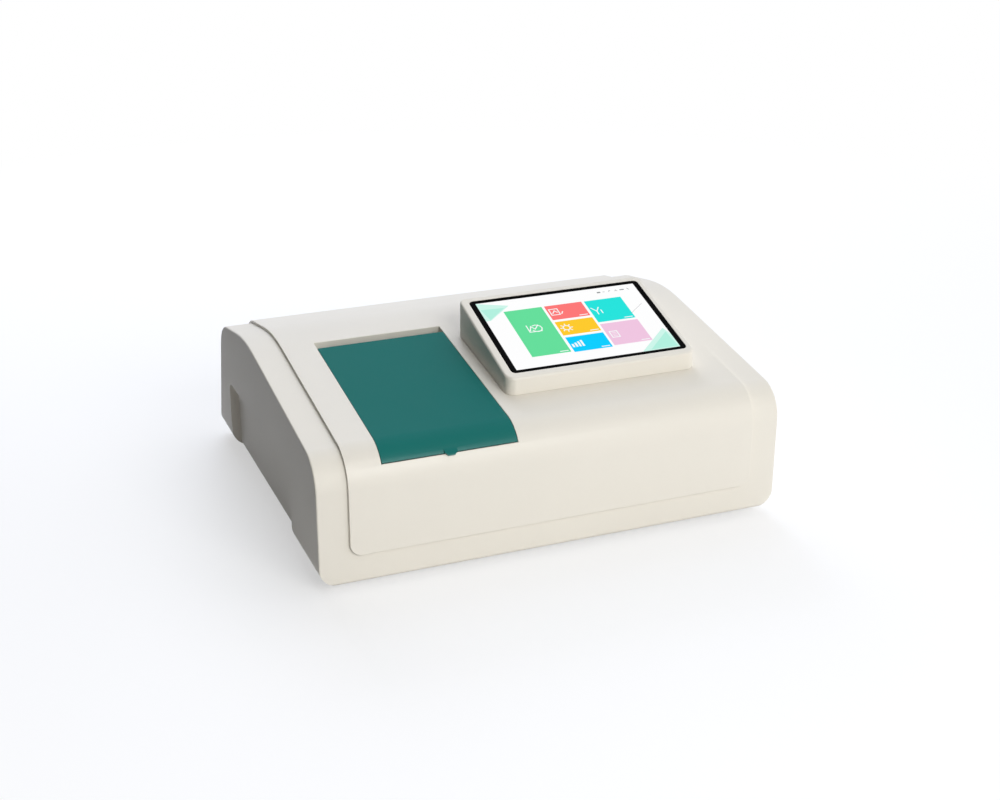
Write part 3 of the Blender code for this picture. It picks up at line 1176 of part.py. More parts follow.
def build_mirror(name, x, y, turn):
    """Round concave mirror and its upright mount, facing -Y before it is turned."""
    floor = MONO_FLOOR
    frame = Matrix.Translation((x, y, 0)) @ Matrix.Rotation(turn, 4, "Z")
    facing = frame @ Matrix.Translation((0, 0, BEAM_HEIGHT)) @ Matrix.Rotation(math.pi / 2, 4, "X")
    seat_radius = MIRROR_RADIUS - MOUNT_FRAME
    profile = [(0, 0), (MIRROR_RADIUS, 0), (MIRROR_RADIUS, MIRROR_THICKNESS)]
    for step in range(SMALL_STEPS, -1, -1):
        share = step / SMALL_STEPS
        profile.append((seat_radius * share, MIRROR_THICKNESS - MIRROR_HOLLOW * (1 - share * share)))
    finished(turned(profile, facing), name, MIRROR_COAT)
    half = MIRROR_RADIUS - MOUNT_FRAME / 2
    back = SEAT_GAP
    top = BEAM_HEIGHT + MIRROR_RADIUS - MOUNT_FRAME
    mount = block((-half, back, floor), (half, back + MOUNT_PLATE, top), frame)
    fuse(mount, block((-half, back - MOUNT_FOOT_DEPTH / 2, floor),
                      (half, back + MOUNT_PLATE, floor + MOUNT_PLATE), frame))
    finished(mount, f"{name}_mount", BLACK_ANODISED)


def build_grating():
    """Ruled grating on its turntable, driven from below by a stepper motor."""
    floor = MONO_FLOOR
    centre = (GRATING_X, GRATING_Y)
    motor = stepper_motor("Z", centre, floor, MOTOR_SIZE, GRATING_MOTOR_LENGTH)
    turn_over = (Matrix.Translation((0, 0, 2 * floor + GRATING_MOTOR_LENGTH))
                 @ Matrix.Scale(-1, 4, (0, 0, 1)))
    motor.data.transform(turn_over)
    motor.data.flip_normals()
    finished(motor, "grating_motor", BLACK_ANODISED)
    pivot = (GRATING_X, GRATING_Y, TABLE_HEIGHT)
    frame = Matrix.Translation((GRATING_X, GRATING_Y, 0))
    shaft_low = TABLE_HEIGHT - TABLE_SHAFT_LENGTH
    table = turned([(TABLE_SHAFT_RADIUS, shaft_low), (TABLE_SHAFT_RADIUS, TABLE_HEIGHT),
                    (TABLE_RADIUS, TABLE_HEIGHT), (TABLE_RADIUS, TABLE_HEIGHT + TABLE_THICKNESS)], frame)
    finished(table, "grating_turntable", BLACK_ANODISED, pivot)
    low = TABLE_HEIGHT + TABLE_THICKNESS + SEAT_GAP
    upright = frame @ Matrix.Rotation(GRATING_TURN, 4, "Z")
    half = GRATING_SIZE / 2
    grating = block((-half, 0, low), (half, GRATING_DEPTH, low + GRATING_SIZE), upright)
    finished(grating, "diffraction_grating", MIRROR_COAT, pivot)


def build_condenser():
    """Condenser lens in its upright ring mount between monochromator and compartment."""
    low = TUB_RIGHT + SEAT_GAP + WINDOW_THICKNESS + LENS_MOUNT_OFFSET
    high = low + LENS_MOUNT_WIDTH
    half = LENS_MOUNT_HALF_LENGTH
    radii = (MINIMUM_RADIUS, MINIMUM_RADIUS, half / 2, half / 2)
    outline = rounded_rectangle((BEAM_DISTANCE - half, STAND_HEIGHT),
                                (BEAM_DISTANCE + half, LENS_MOUNT_TOP), radii)
    mount = prism("X", outline, low, high)
    carve(mount, rod("X", (BEAM_DISTANCE, BEAM_HEIGHT), DETECTOR_BORE_RADIUS, low - OVERRUN,
                     high + OVERRUN))
    finished(mount, "lens_mount", BLACK_ANODISED)
    lens = turned(lens_profile(LENS_RADIUS, LENS_THICKNESS, LENS_EDGE), beam_frame((low + high) / 2))
    finished(lens, "condenser_lens", CLEAR_GLASS)


def build_filter_wheel():
    """Six-hole order-sorting filter wheel before the entrance slit, with its motor."""
    centre = (LAMP_AXIS_X + WHEEL_HOLE_RING, BEAM_HEIGHT)
    low = MONO_REAR + WHEEL_STANDOFF
    wheel = rod("Y", centre, WHEEL_RADIUS, low, low + WHEEL_THICKNESS, 2 * ROUND_SIDES)
    for index in range(WHEEL_HOLE_COUNT):
        turn = math.pi + math.tau * index / WHEEL_HOLE_COUNT
        place = (centre[0] + WHEEL_HOLE_RING * math.cos(turn),
                 centre[1] + WHEEL_HOLE_RING * math.sin(turn))
        carve(wheel, rod("Y", place, WHEEL_HOLE_RADIUS, low - OVERRUN, low + OVERRUN, SMALL_SIDES))
    fuse(wheel, rod("Y", centre, WHEEL_HUB_RADIUS, low + WHEEL_THICKNESS / 2,
                    low + WHEEL_HUB_LENGTH, SMALL_SIDES))
    finished(wheel, "filter_wheel", BLACK_ANODISED, (centre[0], low, centre[1]))
    face = low + WHEEL_HUB_LENGTH + SEAT_GAP
    motor = stepper_motor("Y", centre, face, FILTER_MOTOR_SIZE, FILTER_MOTOR_LENGTH)
    half = FILTER_POST_WIDTH / 2
    fuse(motor, block((centre[0] - half, face + 2 * MOTOR_BOSS_LENGTH, STAND_HEIGHT),
                      (centre[0] + half, face + FILTER_MOTOR_LENGTH - MOTOR_BOSS_LENGTH, BEAM_HEIGHT)))
    finished(motor, "filter_motor", BLACK_ANODISED)


def build_lamp_house():
    """Vented lamp house with two lamps and the swinging mirror that picks one."""
    wall = LAMP_HOUSE_WALL
    house = block((LAMP_HOUSE_LEFT, LAMP_HOUSE_FRONT, STAND_HEIGHT),
                  (LAMP_HOUSE_RIGHT, LAMP_HOUSE_REAR, LAMP_HOUSE_TOP))
    carve(house, block((LAMP_HOUSE_LEFT + wall, LAMP_HOUSE_FRONT + wall, STAND_HEIGHT - OVERRUN),
                       (LAMP_HOUSE_RIGHT - wall, LAMP_HOUSE_REAR - wall, LAMP_HOUSE_TOP - wall)))
    carve(house, rod("Y", (LAMP_AXIS_X, BEAM_HEIGHT), LAMP_PORT_RADIUS, LAMP_HOUSE_FRONT - OVERRUN,
                     LAMP_HOUSE_FRONT + OVERRUN, SMALL_SIDES))
    pitch = (LAMP_HOUSE_RIGHT - LAMP_HOUSE_LEFT) / (LAMP_HOUSE_SLOTS + 1)
    middle = (LAMP_HOUSE_FRONT + LAMP_HOUSE_REAR) / 2
    for index in range(LAMP_HOUSE_SLOTS):
        centre = LAMP_HOUSE_LEFT + (index + 1) * pitch
        half = LAMP_SLOT_WIDTH / 2
        carve(house, block((centre - half, middle - LAMP_SLOT_LENGTH / 2, LAMP_HOUSE_TOP - 2 * wall),
                           (centre + half, middle + LAMP_SLOT_LENGTH / 2, LAMP_HOUSE_TOP + OVERRUN)))
        carve(house, block((centre - half, LAMP_HOUSE_REAR - 2 * wall, BEAM_HEIGHT - LAMP_SLOT_LENGTH),
                           (centre + half, LAMP_HOUSE_REAR + OVERRUN, BEAM_HEIGHT)))
    finished(house, "lamp_housing", SHEET_METAL)

    build_lamp("deuterium_lamp", LAMP_AXIS_X - DEUTERIUM_OFFSET, DEUTERIUM_FLANGE_RADIUS,
               DEUTERIUM_BULB_RADIUS, DEUTERIUM_BULB_TOP, CLEAR_GLASS)
    build_lamp("tungsten_lamp", LAMP_AXIS_X + TUNGSTEN_OFFSET, TUNGSTEN_BASE_RADIUS,
               TUNGSTEN_BULB_RADIUS, TUNGSTEN_BULB_TOP, CERAMIC)

    centre = (LAMP_AXIS_X, SOURCE_MIRROR_Y)
    motor_top = STAND_HEIGHT + SOURCE_MOTOR_HEIGHT
    motor = rod("Z", centre, SOURCE_MOTOR_RADIUS, STAND_HEIGHT, motor_top)
    finished(motor, "source_mirror_motor", BLACK_ANODISED)
    frame = Matrix.Translation((*centre, 0)) @ Matrix.Rotation(math.pi / 4, 4, "Z")
    half = SOURCE_MIRROR_SIZE / 2
    mirror = block((-SOURCE_MIRROR_THICKNESS / 2, -half, BEAM_HEIGHT - half),
                   (SOURCE_MIRROR_THICKNESS / 2, half, BEAM_HEIGHT + half), frame)
    fuse(mirror, rod("Z", centre, SOURCE_SHAFT_RADIUS, motor_top + SEAT_GAP, BEAM_HEIGHT - half / 2,
                     SMALL_SIDES))
    finished(mirror, "source_mirror", MIRROR_COAT, (*centre, BEAM_HEIGHT))


def build_lamp(name, x, base_radius, radius, top, finish):
    """Lamp with a round base and a domed bulb, standing on the bench."""
    profile = [(base_radius, STAND_HEIGHT), (base_radius, LAMP_BASE_TOP), (radius, LAMP_BASE_TOP)]
    for step in range(SMALL_STEPS + 1):
        turn = math.pi / 2 * step / SMALL_STEPS
        profile.append((radius * math.cos(turn), top - radius + radius * math.sin(turn)))
    finished(turned(profile, Matrix.Translation((x, SOURCE_MIRROR_Y, 0))), name, finish)


# Electronics

def build_main_board():
    """Main circuit board on four standoffs with its larger parts."""
    top = MAIN_BOARD_HEIGHT + BOARD_THICKNESS
    board = block((MAIN_BOARD_LEFT, MAIN_BOARD_FRONT, MAIN_BOARD_HEIGHT),
                  (MAIN_BOARD_RIGHT, MAIN_BOARD_REAR, top))
    width = MAIN_BOARD_RIGHT - MAIN_BOARD_LEFT
    length = MAIN_BOARD_REAR - MAIN_BOARD_FRONT
    parts = ((0.20, 0.30, 0.17, 0.24, 1), (0.52, 0.34, 0.13, 0.18, 1), (0.78, 0.30, 0.10, 0.30, 3),
             (0.24, 0.72, 0.10, 0.16, 5), (0.46, 0.76, 0.10, 0.16, 5), (0.74, 0.78, 0.22, 0.16, 4))
    for x_share, y_share, width_share, length_share, layers in parts:
        x, y = MAIN_BOARD_LEFT + x_share * width, MAIN_BOARD_FRONT + y_share * length
        half_x, half_y = width_share * width / 2, length_share * length / 2
        fuse(board, block((x - half_x, y - half_y, top - BOARD_THICKNESS / 2),
                          (x + half_x, y + half_y, top + layers * CHIP_HEIGHT)))
    for x in (MAIN_BOARD_LEFT + STANDOFF_INSET, MAIN_BOARD_RIGHT - STANDOFF_INSET):
        for y in (MAIN_BOARD_FRONT + STANDOFF_INSET, MAIN_BOARD_REAR - STANDOFF_INSET):
            fuse(board, rod("Z", (x, y), STANDOFF_RADIUS, STAND_HEIGHT,
                            MAIN_BOARD_HEIGHT + BOARD_THICKNESS / 2, SMALL_SIDES))
    finished(board, "main_board", CIRCUIT_GREEN)


def build_power_supply():
    """Caged power supply: a channel open at both ends with rows of vents in its top."""
    wall = SUPPLY_WALL
    top = STAND_HEIGHT + SUPPLY_HEIGHT
    cage = block((SUPPLY_LEFT, SUPPLY_FRONT, STAND_HEIGHT), (SUPPLY_RIGHT, SUPPLY_REAR, top))
    carve(cage, block((SUPPLY_LEFT + wall, SUPPLY_FRONT - OVERRUN, STAND_HEIGHT + wall),
                      (SUPPLY_RIGHT - wall, SUPPLY_REAR + OVERRUN, top - wall)))
    row_pitch = (SUPPLY_REAR - SUPPLY_FRONT) / SUPPLY_VENT_ROWS
    column_pitch = (SUPPLY_RIGHT - SUPPLY_LEFT) / (SUPPLY_VENT_COLUMNS + 1)
    half_width = column_pitch * SUPPLY_VENT_WIDTH_SHARE / 2
    half_length = row_pitch * SUPPLY_VENT_LENGTH_SHARE / 2
    for row in range(SUPPLY_VENT_ROWS):
        y = SUPPLY_FRONT + row_pitch / 2 + row * row_pitch
        for column in range(SUPPLY_VENT_COLUMNS):
            x = SUPPLY_LEFT + (column + 1) * column_pitch
            carve(cage, block((x - half_width, y - half_length, top - 2 * wall),
                              (x + half_width, y + half_length, top + OVERRUN)))
    finished(cage, "power_supply", SHEET_METAL)


# Pieces on the rear panel, in the frame of the leaning back

def back_box(centre, rise, width, height, low, high):
    """Box round a point of the back, between two depths."""
    return block((centre - width / 2, rise - height / 2, low),
                 (centre + width / 2, rise + height / 2, high), BACK_FRAME)


def build_fan():
    """Cooling fan: square frame with a spider, bladed rotor and outer finger guard."""
    high = PANEL_BACK - SEAT_GAP
    low = high - FAN_DEPTH
    centre = (FAN_CENTRE, FEATURE_RISE)
    half = FAN_SIZE / 2
    outline = rounded_rectangle((centre[0] - half, centre[1] - half),
                                (centre[0] + half, centre[1] + half), (FAN_CORNER,) * 4)
    spider_top = low + FAN_SPIDER_DEPTH
    frame = prism("Z", outline, low, high)
    waste = rod("Z", centre, FAN_BORE_RADIUS, low - OVERRUN, high + OVERRUN, 2 * ROUND_SIDES)
    carve(waste, rod("Z", centre, FAN_HUB_RADIUS, low - 2 * OVERRUN, spider_top, ROUND_SIDES))
    for turn in (math.pi / 4, -math.pi / 4):
        arm_frame = Matrix.Translation((*centre, 0)) @ Matrix.Rotation(turn, 4, "Z")
        carve(waste, block((-half, -FAN_SPIDER_ARM / 2, low - 2 * OVERRUN),
                           (half, FAN_SPIDER_ARM / 2, spider_top), arm_frame))
    carve(frame, waste)
    frame.data.transform(BACK_FRAME)
    finished(frame, "fan_frame", BLACK_PLASTIC)
    build_fan_rotor(centre, spider_top + SEAT_GAP)
    build_fan_guard(centre, PANEL_FACE + SEAT_GAP)


def build_fan_rotor(centre, low):
    """Rotor with a round hub and pitched, twisted blades."""
    rotor_frame = BACK_FRAME @ Matrix.Translation((centre[0], centre[1], low))
    depth = FAN_ROTOR_DEPTH
    rotor = turned([(FAN_HUB_RADIUS, 0), (FAN_HUB_RADIUS, depth - FAN_BLADE_THICKNESS),
                    (FAN_HUB_RADIUS - FAN_BLADE_THICKNESS, depth)], rotor_frame)
    chord = (depth / 2 - FAN_BLADE_THICKNESS) / math.sin(FAN_BLADE_PITCH)
    root = FAN_HUB_RADIUS - FAN_BLADE_THICKNESS
    for index in range(FAN_BLADE_COUNT):
        spin = Matrix.Rotation(math.tau * index / FAN_BLADE_COUNT, 4, "Z")
        rings = []
        for step in range(SMALL_STEPS + 1):
            share = step / SMALL_STEPS
            radius = root + (FAN_BLADE_TIP - root) * share
            pitch = FAN_BLADE_PITCH * (1 - share / 2)
            along = Vector((0, math.cos(pitch), math.sin(pitch))) * chord
            across = Vector((0, -math.sin(pitch), math.cos(pitch))) * FAN_BLADE_THICKNESS / 2
            middle = Vector((radius, 0, depth / 2))
            rings.append([rotor_frame @ spin @ (middle + corner) for corner in
                          (along + across, along - across, -along - across, -along + across)])
        fuse(rotor, loft(rings))
    clearance = rod("Z", centre, FAN_BLADE_TIP, low - OVERRUN, low + OVERRUN, 2 * ROUND_SIDES, BACK_FRAME)
    keep_common(rotor, clearance)
    pivot = BACK_FRAME @ Vector((centre[0], centre[1], low))
    finished(rotor, "fan_rotor", BLACK_PLASTIC, pivot)


def build_fan_guard(centre, low):
    """Finger guard of flat rings joined by crossed arms that end in screw eyes."""
    high = low + GUARD_WIRE
    half_wire = GUARD_WIRE / 2
    reach = (FAN_SIZE / 2 - FAN_CORNER) * math.sqrt(2)
    middle = Matrix.Translation((*centre, 0))
    arm_frames = [middle @ Matrix.Rotation(turn, 4, "Z") for turn in (math.pi / 4, -math.pi / 4)]
    guard = rod("Z", centre, GUARD_RINGS[-1] + half_wire, low, high, 2 * ROUND_SIDES)
    for frame in arm_frames:
        outline = rounded_rectangle((-reach - GUARD_EYE_RADIUS, -GUARD_EYE_RADIUS),
                                    (reach + GUARD_EYE_RADIUS, GUARD_EYE_RADIUS),
                                    (GUARD_EYE_RADIUS,) * 4)
        fuse(guard, prism("Z", outline, low, high, frame))
    for inner, outer in zip(GUARD_RINGS, GUARD_RINGS[1:]):
        gap = rod("Z", centre, outer - half_wire, low - OVERRUN, high + OVERRUN)
        carve(gap, rod("Z", centre, inner + half_wire, low - 2 * OVERRUN, high + 2 * OVERRUN))
        for frame in arm_frames:
            carve(gap, block((-2 * reach, -GUARD_ARM / 2, low - 2 * OVERRUN),
                             (2 * reach, GUARD_ARM / 2, high + 2 * OVERRUN), frame))
        carve(guard, gap)
    guard.data.transform(BACK_FRAME)
    finished(guard, "fan_guard", STEEL)


def build_power_inlet():
    """Mains inlet with three blades in its socket and a pull-out fuse drawer below."""
    low = PANEL_FACE + SEAT_GAP
    high = low + FLANGE_PLATE
    rise = FEATURE_RISE
    inlet = back_box(INLET_CENTRE, rise, INLET_WIDTH, INLET_HEIGHT, low, high)
    fuse(inlet, back_box(INLET_CENTRE, rise, INLET_BODY_WIDTH, INLET_BODY_HEIGHT, high - INLET_BODY_DEPTH,
                         (low + high) / 2))
    socket_rise = rise + INLET_SOCKET_RISE
    half_width, half_height = INLET_SOCKET_WIDTH / 2, INLET_SOCKET_HEIGHT / 2
    cut = half_height / 2
    outline = [(-half_width, -half_height), (half_width, -half_height),
               (half_width, half_height - cut), (half_width - cut, half_height),
               (-half_width + cut, half_height), (-half_width, half_height - cut)]
    outline = [(INLET_CENTRE + x, socket_rise + y) for x, y in outline]
    floor = high - INLET_SOCKET_DEPTH
    carve(inlet, prism("Z", outline, floor, high + OVERRUN, BACK_FRAME))
    for spread, lift in ((-1, -1), (1, -1), (0, 1)):
        place = INLET_CENTRE + spread * INLET_PIN_SPREAD
        fuse(inlet, back_box(place, socket_rise + lift * INLET_PIN_OFFSET, INLET_PIN_WIDTH,
                             INLET_PIN_HEIGHT, floor - INLET_PIN_WIDTH, floor + INLET_PIN_LENGTH))
    drawer_rise = rise - DRAWER_DROP
    pocket = high - DRAWER_DEPTH
    carve(inlet, back_box(INLET_CENTRE, drawer_rise, DRAWER_WIDTH + 2 * SEAT_GAP,
                          DRAWER_HEIGHT + 2 * SEAT_GAP, pocket - SEAT_GAP, high + OVERRUN))
    finished(inlet, "power_inlet", BLACK_PLASTIC)
    drawer = back_box(INLET_CENTRE, drawer_rise, DRAWER_WIDTH, DRAWER_HEIGHT, pocket, high)
    pivot = BACK_FRAME @ Vector((INLET_CENTRE, drawer_rise, high))
    finished(drawer, "fuse_drawer", BLACK_PLASTIC, pivot)


def build_power_switch():
    """Rocker switch: framed body with a pocket and a rocker on its cross axis."""
    low = PANEL_FACE + SEAT_GAP
    high = low + FLANGE_PLATE
    rise = FEATURE_RISE
    frame = back_box(SWITCH_CENTRE, rise, SWITCH_WIDTH, SWITCH_HEIGHT, low, high)
    fuse(frame, back_box(SWITCH_CENTRE, rise, SWITCH_BODY_WIDTH, SWITCH_BODY_HEIGHT,
                         high - SWITCH_BODY_DEPTH, (low + high) / 2))
    axis_depth = high - ROCKER_AXIS_DEPTH
    swing = math.hypot(ROCKER_HEIGHT / 2, ROCKER_AXIS_DEPTH) + RUNNING_GAP
    pocket_half = ROCKER_WIDTH / 2 + SEAT_GAP
    pocket = rod("X", (rise, axis_depth), swing, SWITCH_CENTRE - pocket_half, SWITCH_CENTRE + pocket_half,
                 2 * ROUND_SIDES, BACK_FRAME)
    mouth = (ROCKER_HEIGHT * math.cos(ROCKER_TILT)
             + 2 * ROCKER_AXIS_DEPTH * math.sin(ROCKER_TILT) + 2 * RUNNING_GAP)
    floor = axis_depth - ROCKER_SKIRT - 2 * RUNNING_GAP
    keep_common(pocket, back_box(SWITCH_CENTRE, rise, SWITCH_WIDTH, mouth, floor, high + OVERRUN))
    carve(frame, pocket)
    finished(frame, "power_switch_frame", BLACK_PLASTIC)
    half = ROCKER_HEIGHT / 2
    crest = ROCKER_AXIS_DEPTH
    dip = half * math.tan(ROCKER_TILT)
    outline = [(-half, crest), (0, crest - dip), (half, crest), (half - dip, -ROCKER_SKIRT / 2),
               (half / 2, -ROCKER_SKIRT), (-half / 2, -ROCKER_SKIRT), (-half + dip, -ROCKER_SKIRT / 2)]
    spin = Matrix.Rotation(-ROCKER_TILT, 4, "X")
    rocker_frame = BACK_FRAME @ Matrix.Translation((SWITCH_CENTRE, rise, axis_depth)) @ spin
    rocker = prism("X", outline, -ROCKER_WIDTH / 2, ROCKER_WIDTH / 2, rocker_frame)
    pivot = BACK_FRAME @ Vector((SWITCH_CENTRE, rise, axis_depth))
    finished(rocker, "power_rocker", BLACK_PLASTIC, pivot)


def build_data_ports():
    """USB socket and nine-way serial socket."""
    high = PANEL_FACE + SEAT_GAP
    low = high - USB_DEPTH
    rise = FEATURE_RISE
    usb = back_box(USB_CENTRE, rise, USB_WIDTH, USB_HEIGHT, low, high)
    carve(usb, back_box(USB_CENTRE, rise, USB_WIDTH - 2 * USB_WALL, USB_HEIGHT - 2 * USB_WALL,
                        low + USB_WALL, high + OVERRUN))
    fuse(usb, back_box(USB_CENTRE, rise, USB_TONGUE_WIDTH, USB_TONGUE_HEIGHT, low + USB_WALL / 2,
                       high - USB_WALL))
    finished(usb, "usb_port", STEEL)
    low = PANEL_FACE + SEAT_GAP
    plate = low + SERIAL_SHELL_WALL
    serial = back_box(SERIAL_CENTRE, rise, SERIAL_WIDTH, SERIAL_HEIGHT, low, plate)
    shell = serial_shell(SERIAL_SHELL_WIDTH, SERIAL_SHELL_HEIGHT, low - SERIAL_BODY_DEPTH,
                         low + SERIAL_SHELL_REACH - SEAT_GAP)
    fuse(serial, shell)
    wall = SERIAL_SHELL_WALL
    carve(serial, serial_shell(SERIAL_SHELL_WIDTH - 2 * wall, SERIAL_SHELL_HEIGHT - 2 * wall,
                               low - SERIAL_BODY_DEPTH / 2, low + OVERRUN))
    finished(serial, "serial_port", STEEL)


def serial_shell(width, height, low, high):
    """D-shaped body of the serial socket."""
    half_width, half_height = width / 2, height / 2
    outline = [(SERIAL_CENTRE + x, FEATURE_RISE + y) for x, y in (
        (-half_width + SERIAL_TAPER, -half_height), (half_width - SERIAL_TAPER, -half_height),
        (half_width, half_height), (-half_width, half_height))]
    return prism("Z", outline, low, high, BACK_FRAME)


# Screen console

def console_wedge(drop_low, drop_top):
    """Tool between the cover's sloping top and the screen's plane, each lowered by a drop."""
    lift = COVER_PROUD + SEAT_GAP - drop_low
    outline = []
    for distance in (CONSOLE_FRONT - OVERRUN, CONSOLE_REAR + OVERRUN):
        outline.append((distance, slope_height(distance, lift)))
    for distance in (CONSOLE_REAR + OVERRUN, CONSOLE_FRONT - OVERRUN):
        rise = (distance - CONSOLE_FRONT) * math.tan(SCREEN_TILT)
        outline.append((distance, CONSOLE_FRONT_HEIGHT + rise - drop_top / math.cos(SCREEN_TILT)))
    return prism("X", outline, CONSOLE_LEFT - OVERRUN, CONSOLE_RIGHT + OVERRUN)


def build_console():
    """Wedge housing with rounded corners, its touch glass and the display module."""
    radii = (CONSOLE_FRONT_RADIUS, CONSOLE_FRONT_RADIUS, CONSOLE_REAR_RADIUS, CONSOLE_REAR_RADIUS)
    plan = rounded_rectangle((CONSOLE_LEFT, CONSOLE_FRONT), (CONSOLE_RIGHT, CONSOLE_REAR), radii,
                             BEND_STEPS)
    high = CONSOLE_FRONT_HEIGHT + CASE_DEPTH
    housing = prism("Z", plan, BAND_HEIGHT, high)
    keep_common(housing, console_wedge(0, 0))
    to_screen = SCREEN_FRAME.inverted()
    soften(housing, lambda point: abs((to_screen @ point).z) < SAME_POINT, CONSOLE_EDGE_RADIUS,
           SMALL_STEPS)
    wall = CONSOLE_WALL
    inner_plan = rounded_rectangle((CONSOLE_LEFT + wall, CONSOLE_FRONT + wall),
                                   (CONSOLE_RIGHT - wall, CONSOLE_REAR - wall),
                                   tuple(radius - wall for radius in radii))
    cavity = prism("Z", inner_plan, BAND_HEIGHT, high)
    keep_common(cavity, console_wedge(OVERRUN, CONSOLE_TOP_WALL))
    carve(housing, cavity)
    gap = SEAT_GAP
    pocket_floor = -(GLASS_THICKNESS + gap)
    radius = GLASS_CORNER_RADIUS
    pocket = rounded_rectangle((GLASS_LEFT - gap, GLASS_FRONT_RUN - gap),
                               (GLASS_RIGHT + gap, GLASS_REAR_RUN + gap), (radius + gap,) * 4)
    carve(housing, prism("Z", pocket, pocket_floor, OVERRUN, SCREEN_FRAME))
    display_low = (GLASS_LEFT + DISPLAY_SIDE_MARGIN, GLASS_FRONT_RUN + DISPLAY_FRONT_MARGIN)
    display_high = (GLASS_RIGHT - DISPLAY_SIDE_MARGIN, GLASS_REAR_RUN - DISPLAY_REAR_MARGIN)
    carve(housing, block((display_low[0] - gap, display_low[1] - gap, -OVERRUN),
                         (display_high[0] + gap, display_high[1] + gap, OVERRUN), SCREEN_FRAME))
    finished(housing, "console_housing", CREAM_COVER)
    outline = rounded_rectangle((GLASS_LEFT, GLASS_FRONT_RUN), (GLASS_RIGHT, GLASS_REAR_RUN),
                                (radius,) * 4)
    glass = prism("Z", outline, -GLASS_THICKNESS, 0, SCREEN_FRAME)
    finished(glass, "touch_glass", SCREEN_BLACK)
    display_top = -(GLASS_THICKNESS + gap)
    display = block((*display_low, display_top - DISPLAY_THICKNESS), (*display_high, display_top),
                    SCREEN_FRAME)
    finished(display, "display_module", BLACK_PLASTIC)


def build_bench():
    """Plate that carries all the optics, with rounded corners."""
    outline = rounded_rectangle((-BENCH_HALF_WIDTH, BENCH_FRONT), (BENCH_HALF_WIDTH, BENCH_REAR),
                                (BENCH_CORNER_RADIUS,) * 4)
    finished(prism("Z", outline, BENCH_LOW, BENCH_TOP), "optical_bench", ALUMINIUM)


def main():
    """Build every piece of the instrument."""
    clear_scene()
    build_lower_case()
    build_main_cover()
    build_rear_panel()
    build_feet()
    build_bench()
    build_sample_lid()
    build_hinge()
    build_tub()
    build_cell_changer()
    build_detector()
    build_monochromator()
    build_mirror("collimating_mirror", COLLIMATOR_X, COLLIMATOR_Y, COLLIMATOR_TURN)
    build_mirror("focusing_mirror", FOCUS_X, FOCUS_Y, FOCUS_TURN)
    build_grating()
    build_condenser()
    build_filter_wheel()
    build_lamp_house()
    build_main_board()
    build_power_supply()
    build_fan()
    build_power_inlet()
    build_power_switch()
    build_data_ports()
    build_console()


main()
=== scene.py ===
"""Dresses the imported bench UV-visible spectrophotometer and sets it in a pale studio.

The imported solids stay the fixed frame. Every finish is worked out from shader nodes, the
outside mouldings get fine edges, and small hardware is added where such an instrument has
it. Each added piece rides on the solid that carries it.
"""

import json
import logging
import math
from collections.abc import Callable, Iterable, Sequence
from dataclasses import dataclass
from enum import Enum
from itertools import pairwise, product

import bmesh
import bpy
from mathutils import Matrix, Vector

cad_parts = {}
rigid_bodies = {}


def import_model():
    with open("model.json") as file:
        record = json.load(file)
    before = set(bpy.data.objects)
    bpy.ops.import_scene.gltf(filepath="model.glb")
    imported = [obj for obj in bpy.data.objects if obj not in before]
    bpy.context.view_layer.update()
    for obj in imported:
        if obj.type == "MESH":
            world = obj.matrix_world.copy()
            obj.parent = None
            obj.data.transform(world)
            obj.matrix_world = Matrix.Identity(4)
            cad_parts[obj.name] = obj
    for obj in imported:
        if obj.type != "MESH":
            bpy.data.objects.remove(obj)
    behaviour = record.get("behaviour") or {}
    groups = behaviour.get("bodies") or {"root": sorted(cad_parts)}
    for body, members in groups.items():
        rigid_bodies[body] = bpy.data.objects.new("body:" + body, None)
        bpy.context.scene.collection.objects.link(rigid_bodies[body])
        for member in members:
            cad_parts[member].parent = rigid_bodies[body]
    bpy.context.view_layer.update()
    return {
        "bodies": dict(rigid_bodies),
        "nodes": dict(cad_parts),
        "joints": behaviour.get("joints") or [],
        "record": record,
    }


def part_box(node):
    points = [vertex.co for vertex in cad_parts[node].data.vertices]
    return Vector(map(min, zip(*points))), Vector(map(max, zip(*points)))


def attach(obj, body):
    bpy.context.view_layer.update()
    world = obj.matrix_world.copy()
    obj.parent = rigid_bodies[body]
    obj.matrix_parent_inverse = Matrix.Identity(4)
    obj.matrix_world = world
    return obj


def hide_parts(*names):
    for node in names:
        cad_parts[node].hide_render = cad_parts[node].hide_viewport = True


LOG = logging.getLogger("spectrophotometer")
Colour = tuple[float, float, float]
Spot = tuple[float, float]
Outline = Sequence[Spot]
Socket = bpy.types.NodeSocket
Tree = bpy.types.NodeTree
Edge = bmesh.types.BMEdge

# Frames of the case, as the solids have them
CASE_FRAME = Matrix.Translation((0, -0.1945, 0.007))
SLOPE_TILT = math.radians(7.2)
SCREEN_TILT = math.radians(15.5)
BACK_LEAN = math.radians(14.2)
CASE_DEPTH = 0.392
SLOPE_FOOT = 0.1225
PEAK_DISTANCE = 0.252
FALL_TILT = math.radians(11.7)
FRONT_BEND = 0.033
ROUNDED_FROM = 0.22
ROUNDED_DROP = 0.004
FEATURE_RISE = 0.0642284
SCREEN_FRAME = (CASE_FRAME @ Matrix.Translation((0, 0.062, 0.151))
                @ Matrix.Rotation(SCREEN_TILT, 4, "X"))
BACK_FRAME = (CASE_FRAME @ Matrix.Translation((0, CASE_DEPTH, 0))
              @ Matrix.Rotation(math.pi, 4, "Z") @ Matrix.Rotation(math.pi / 2 - BACK_LEAN, 4, "X"))

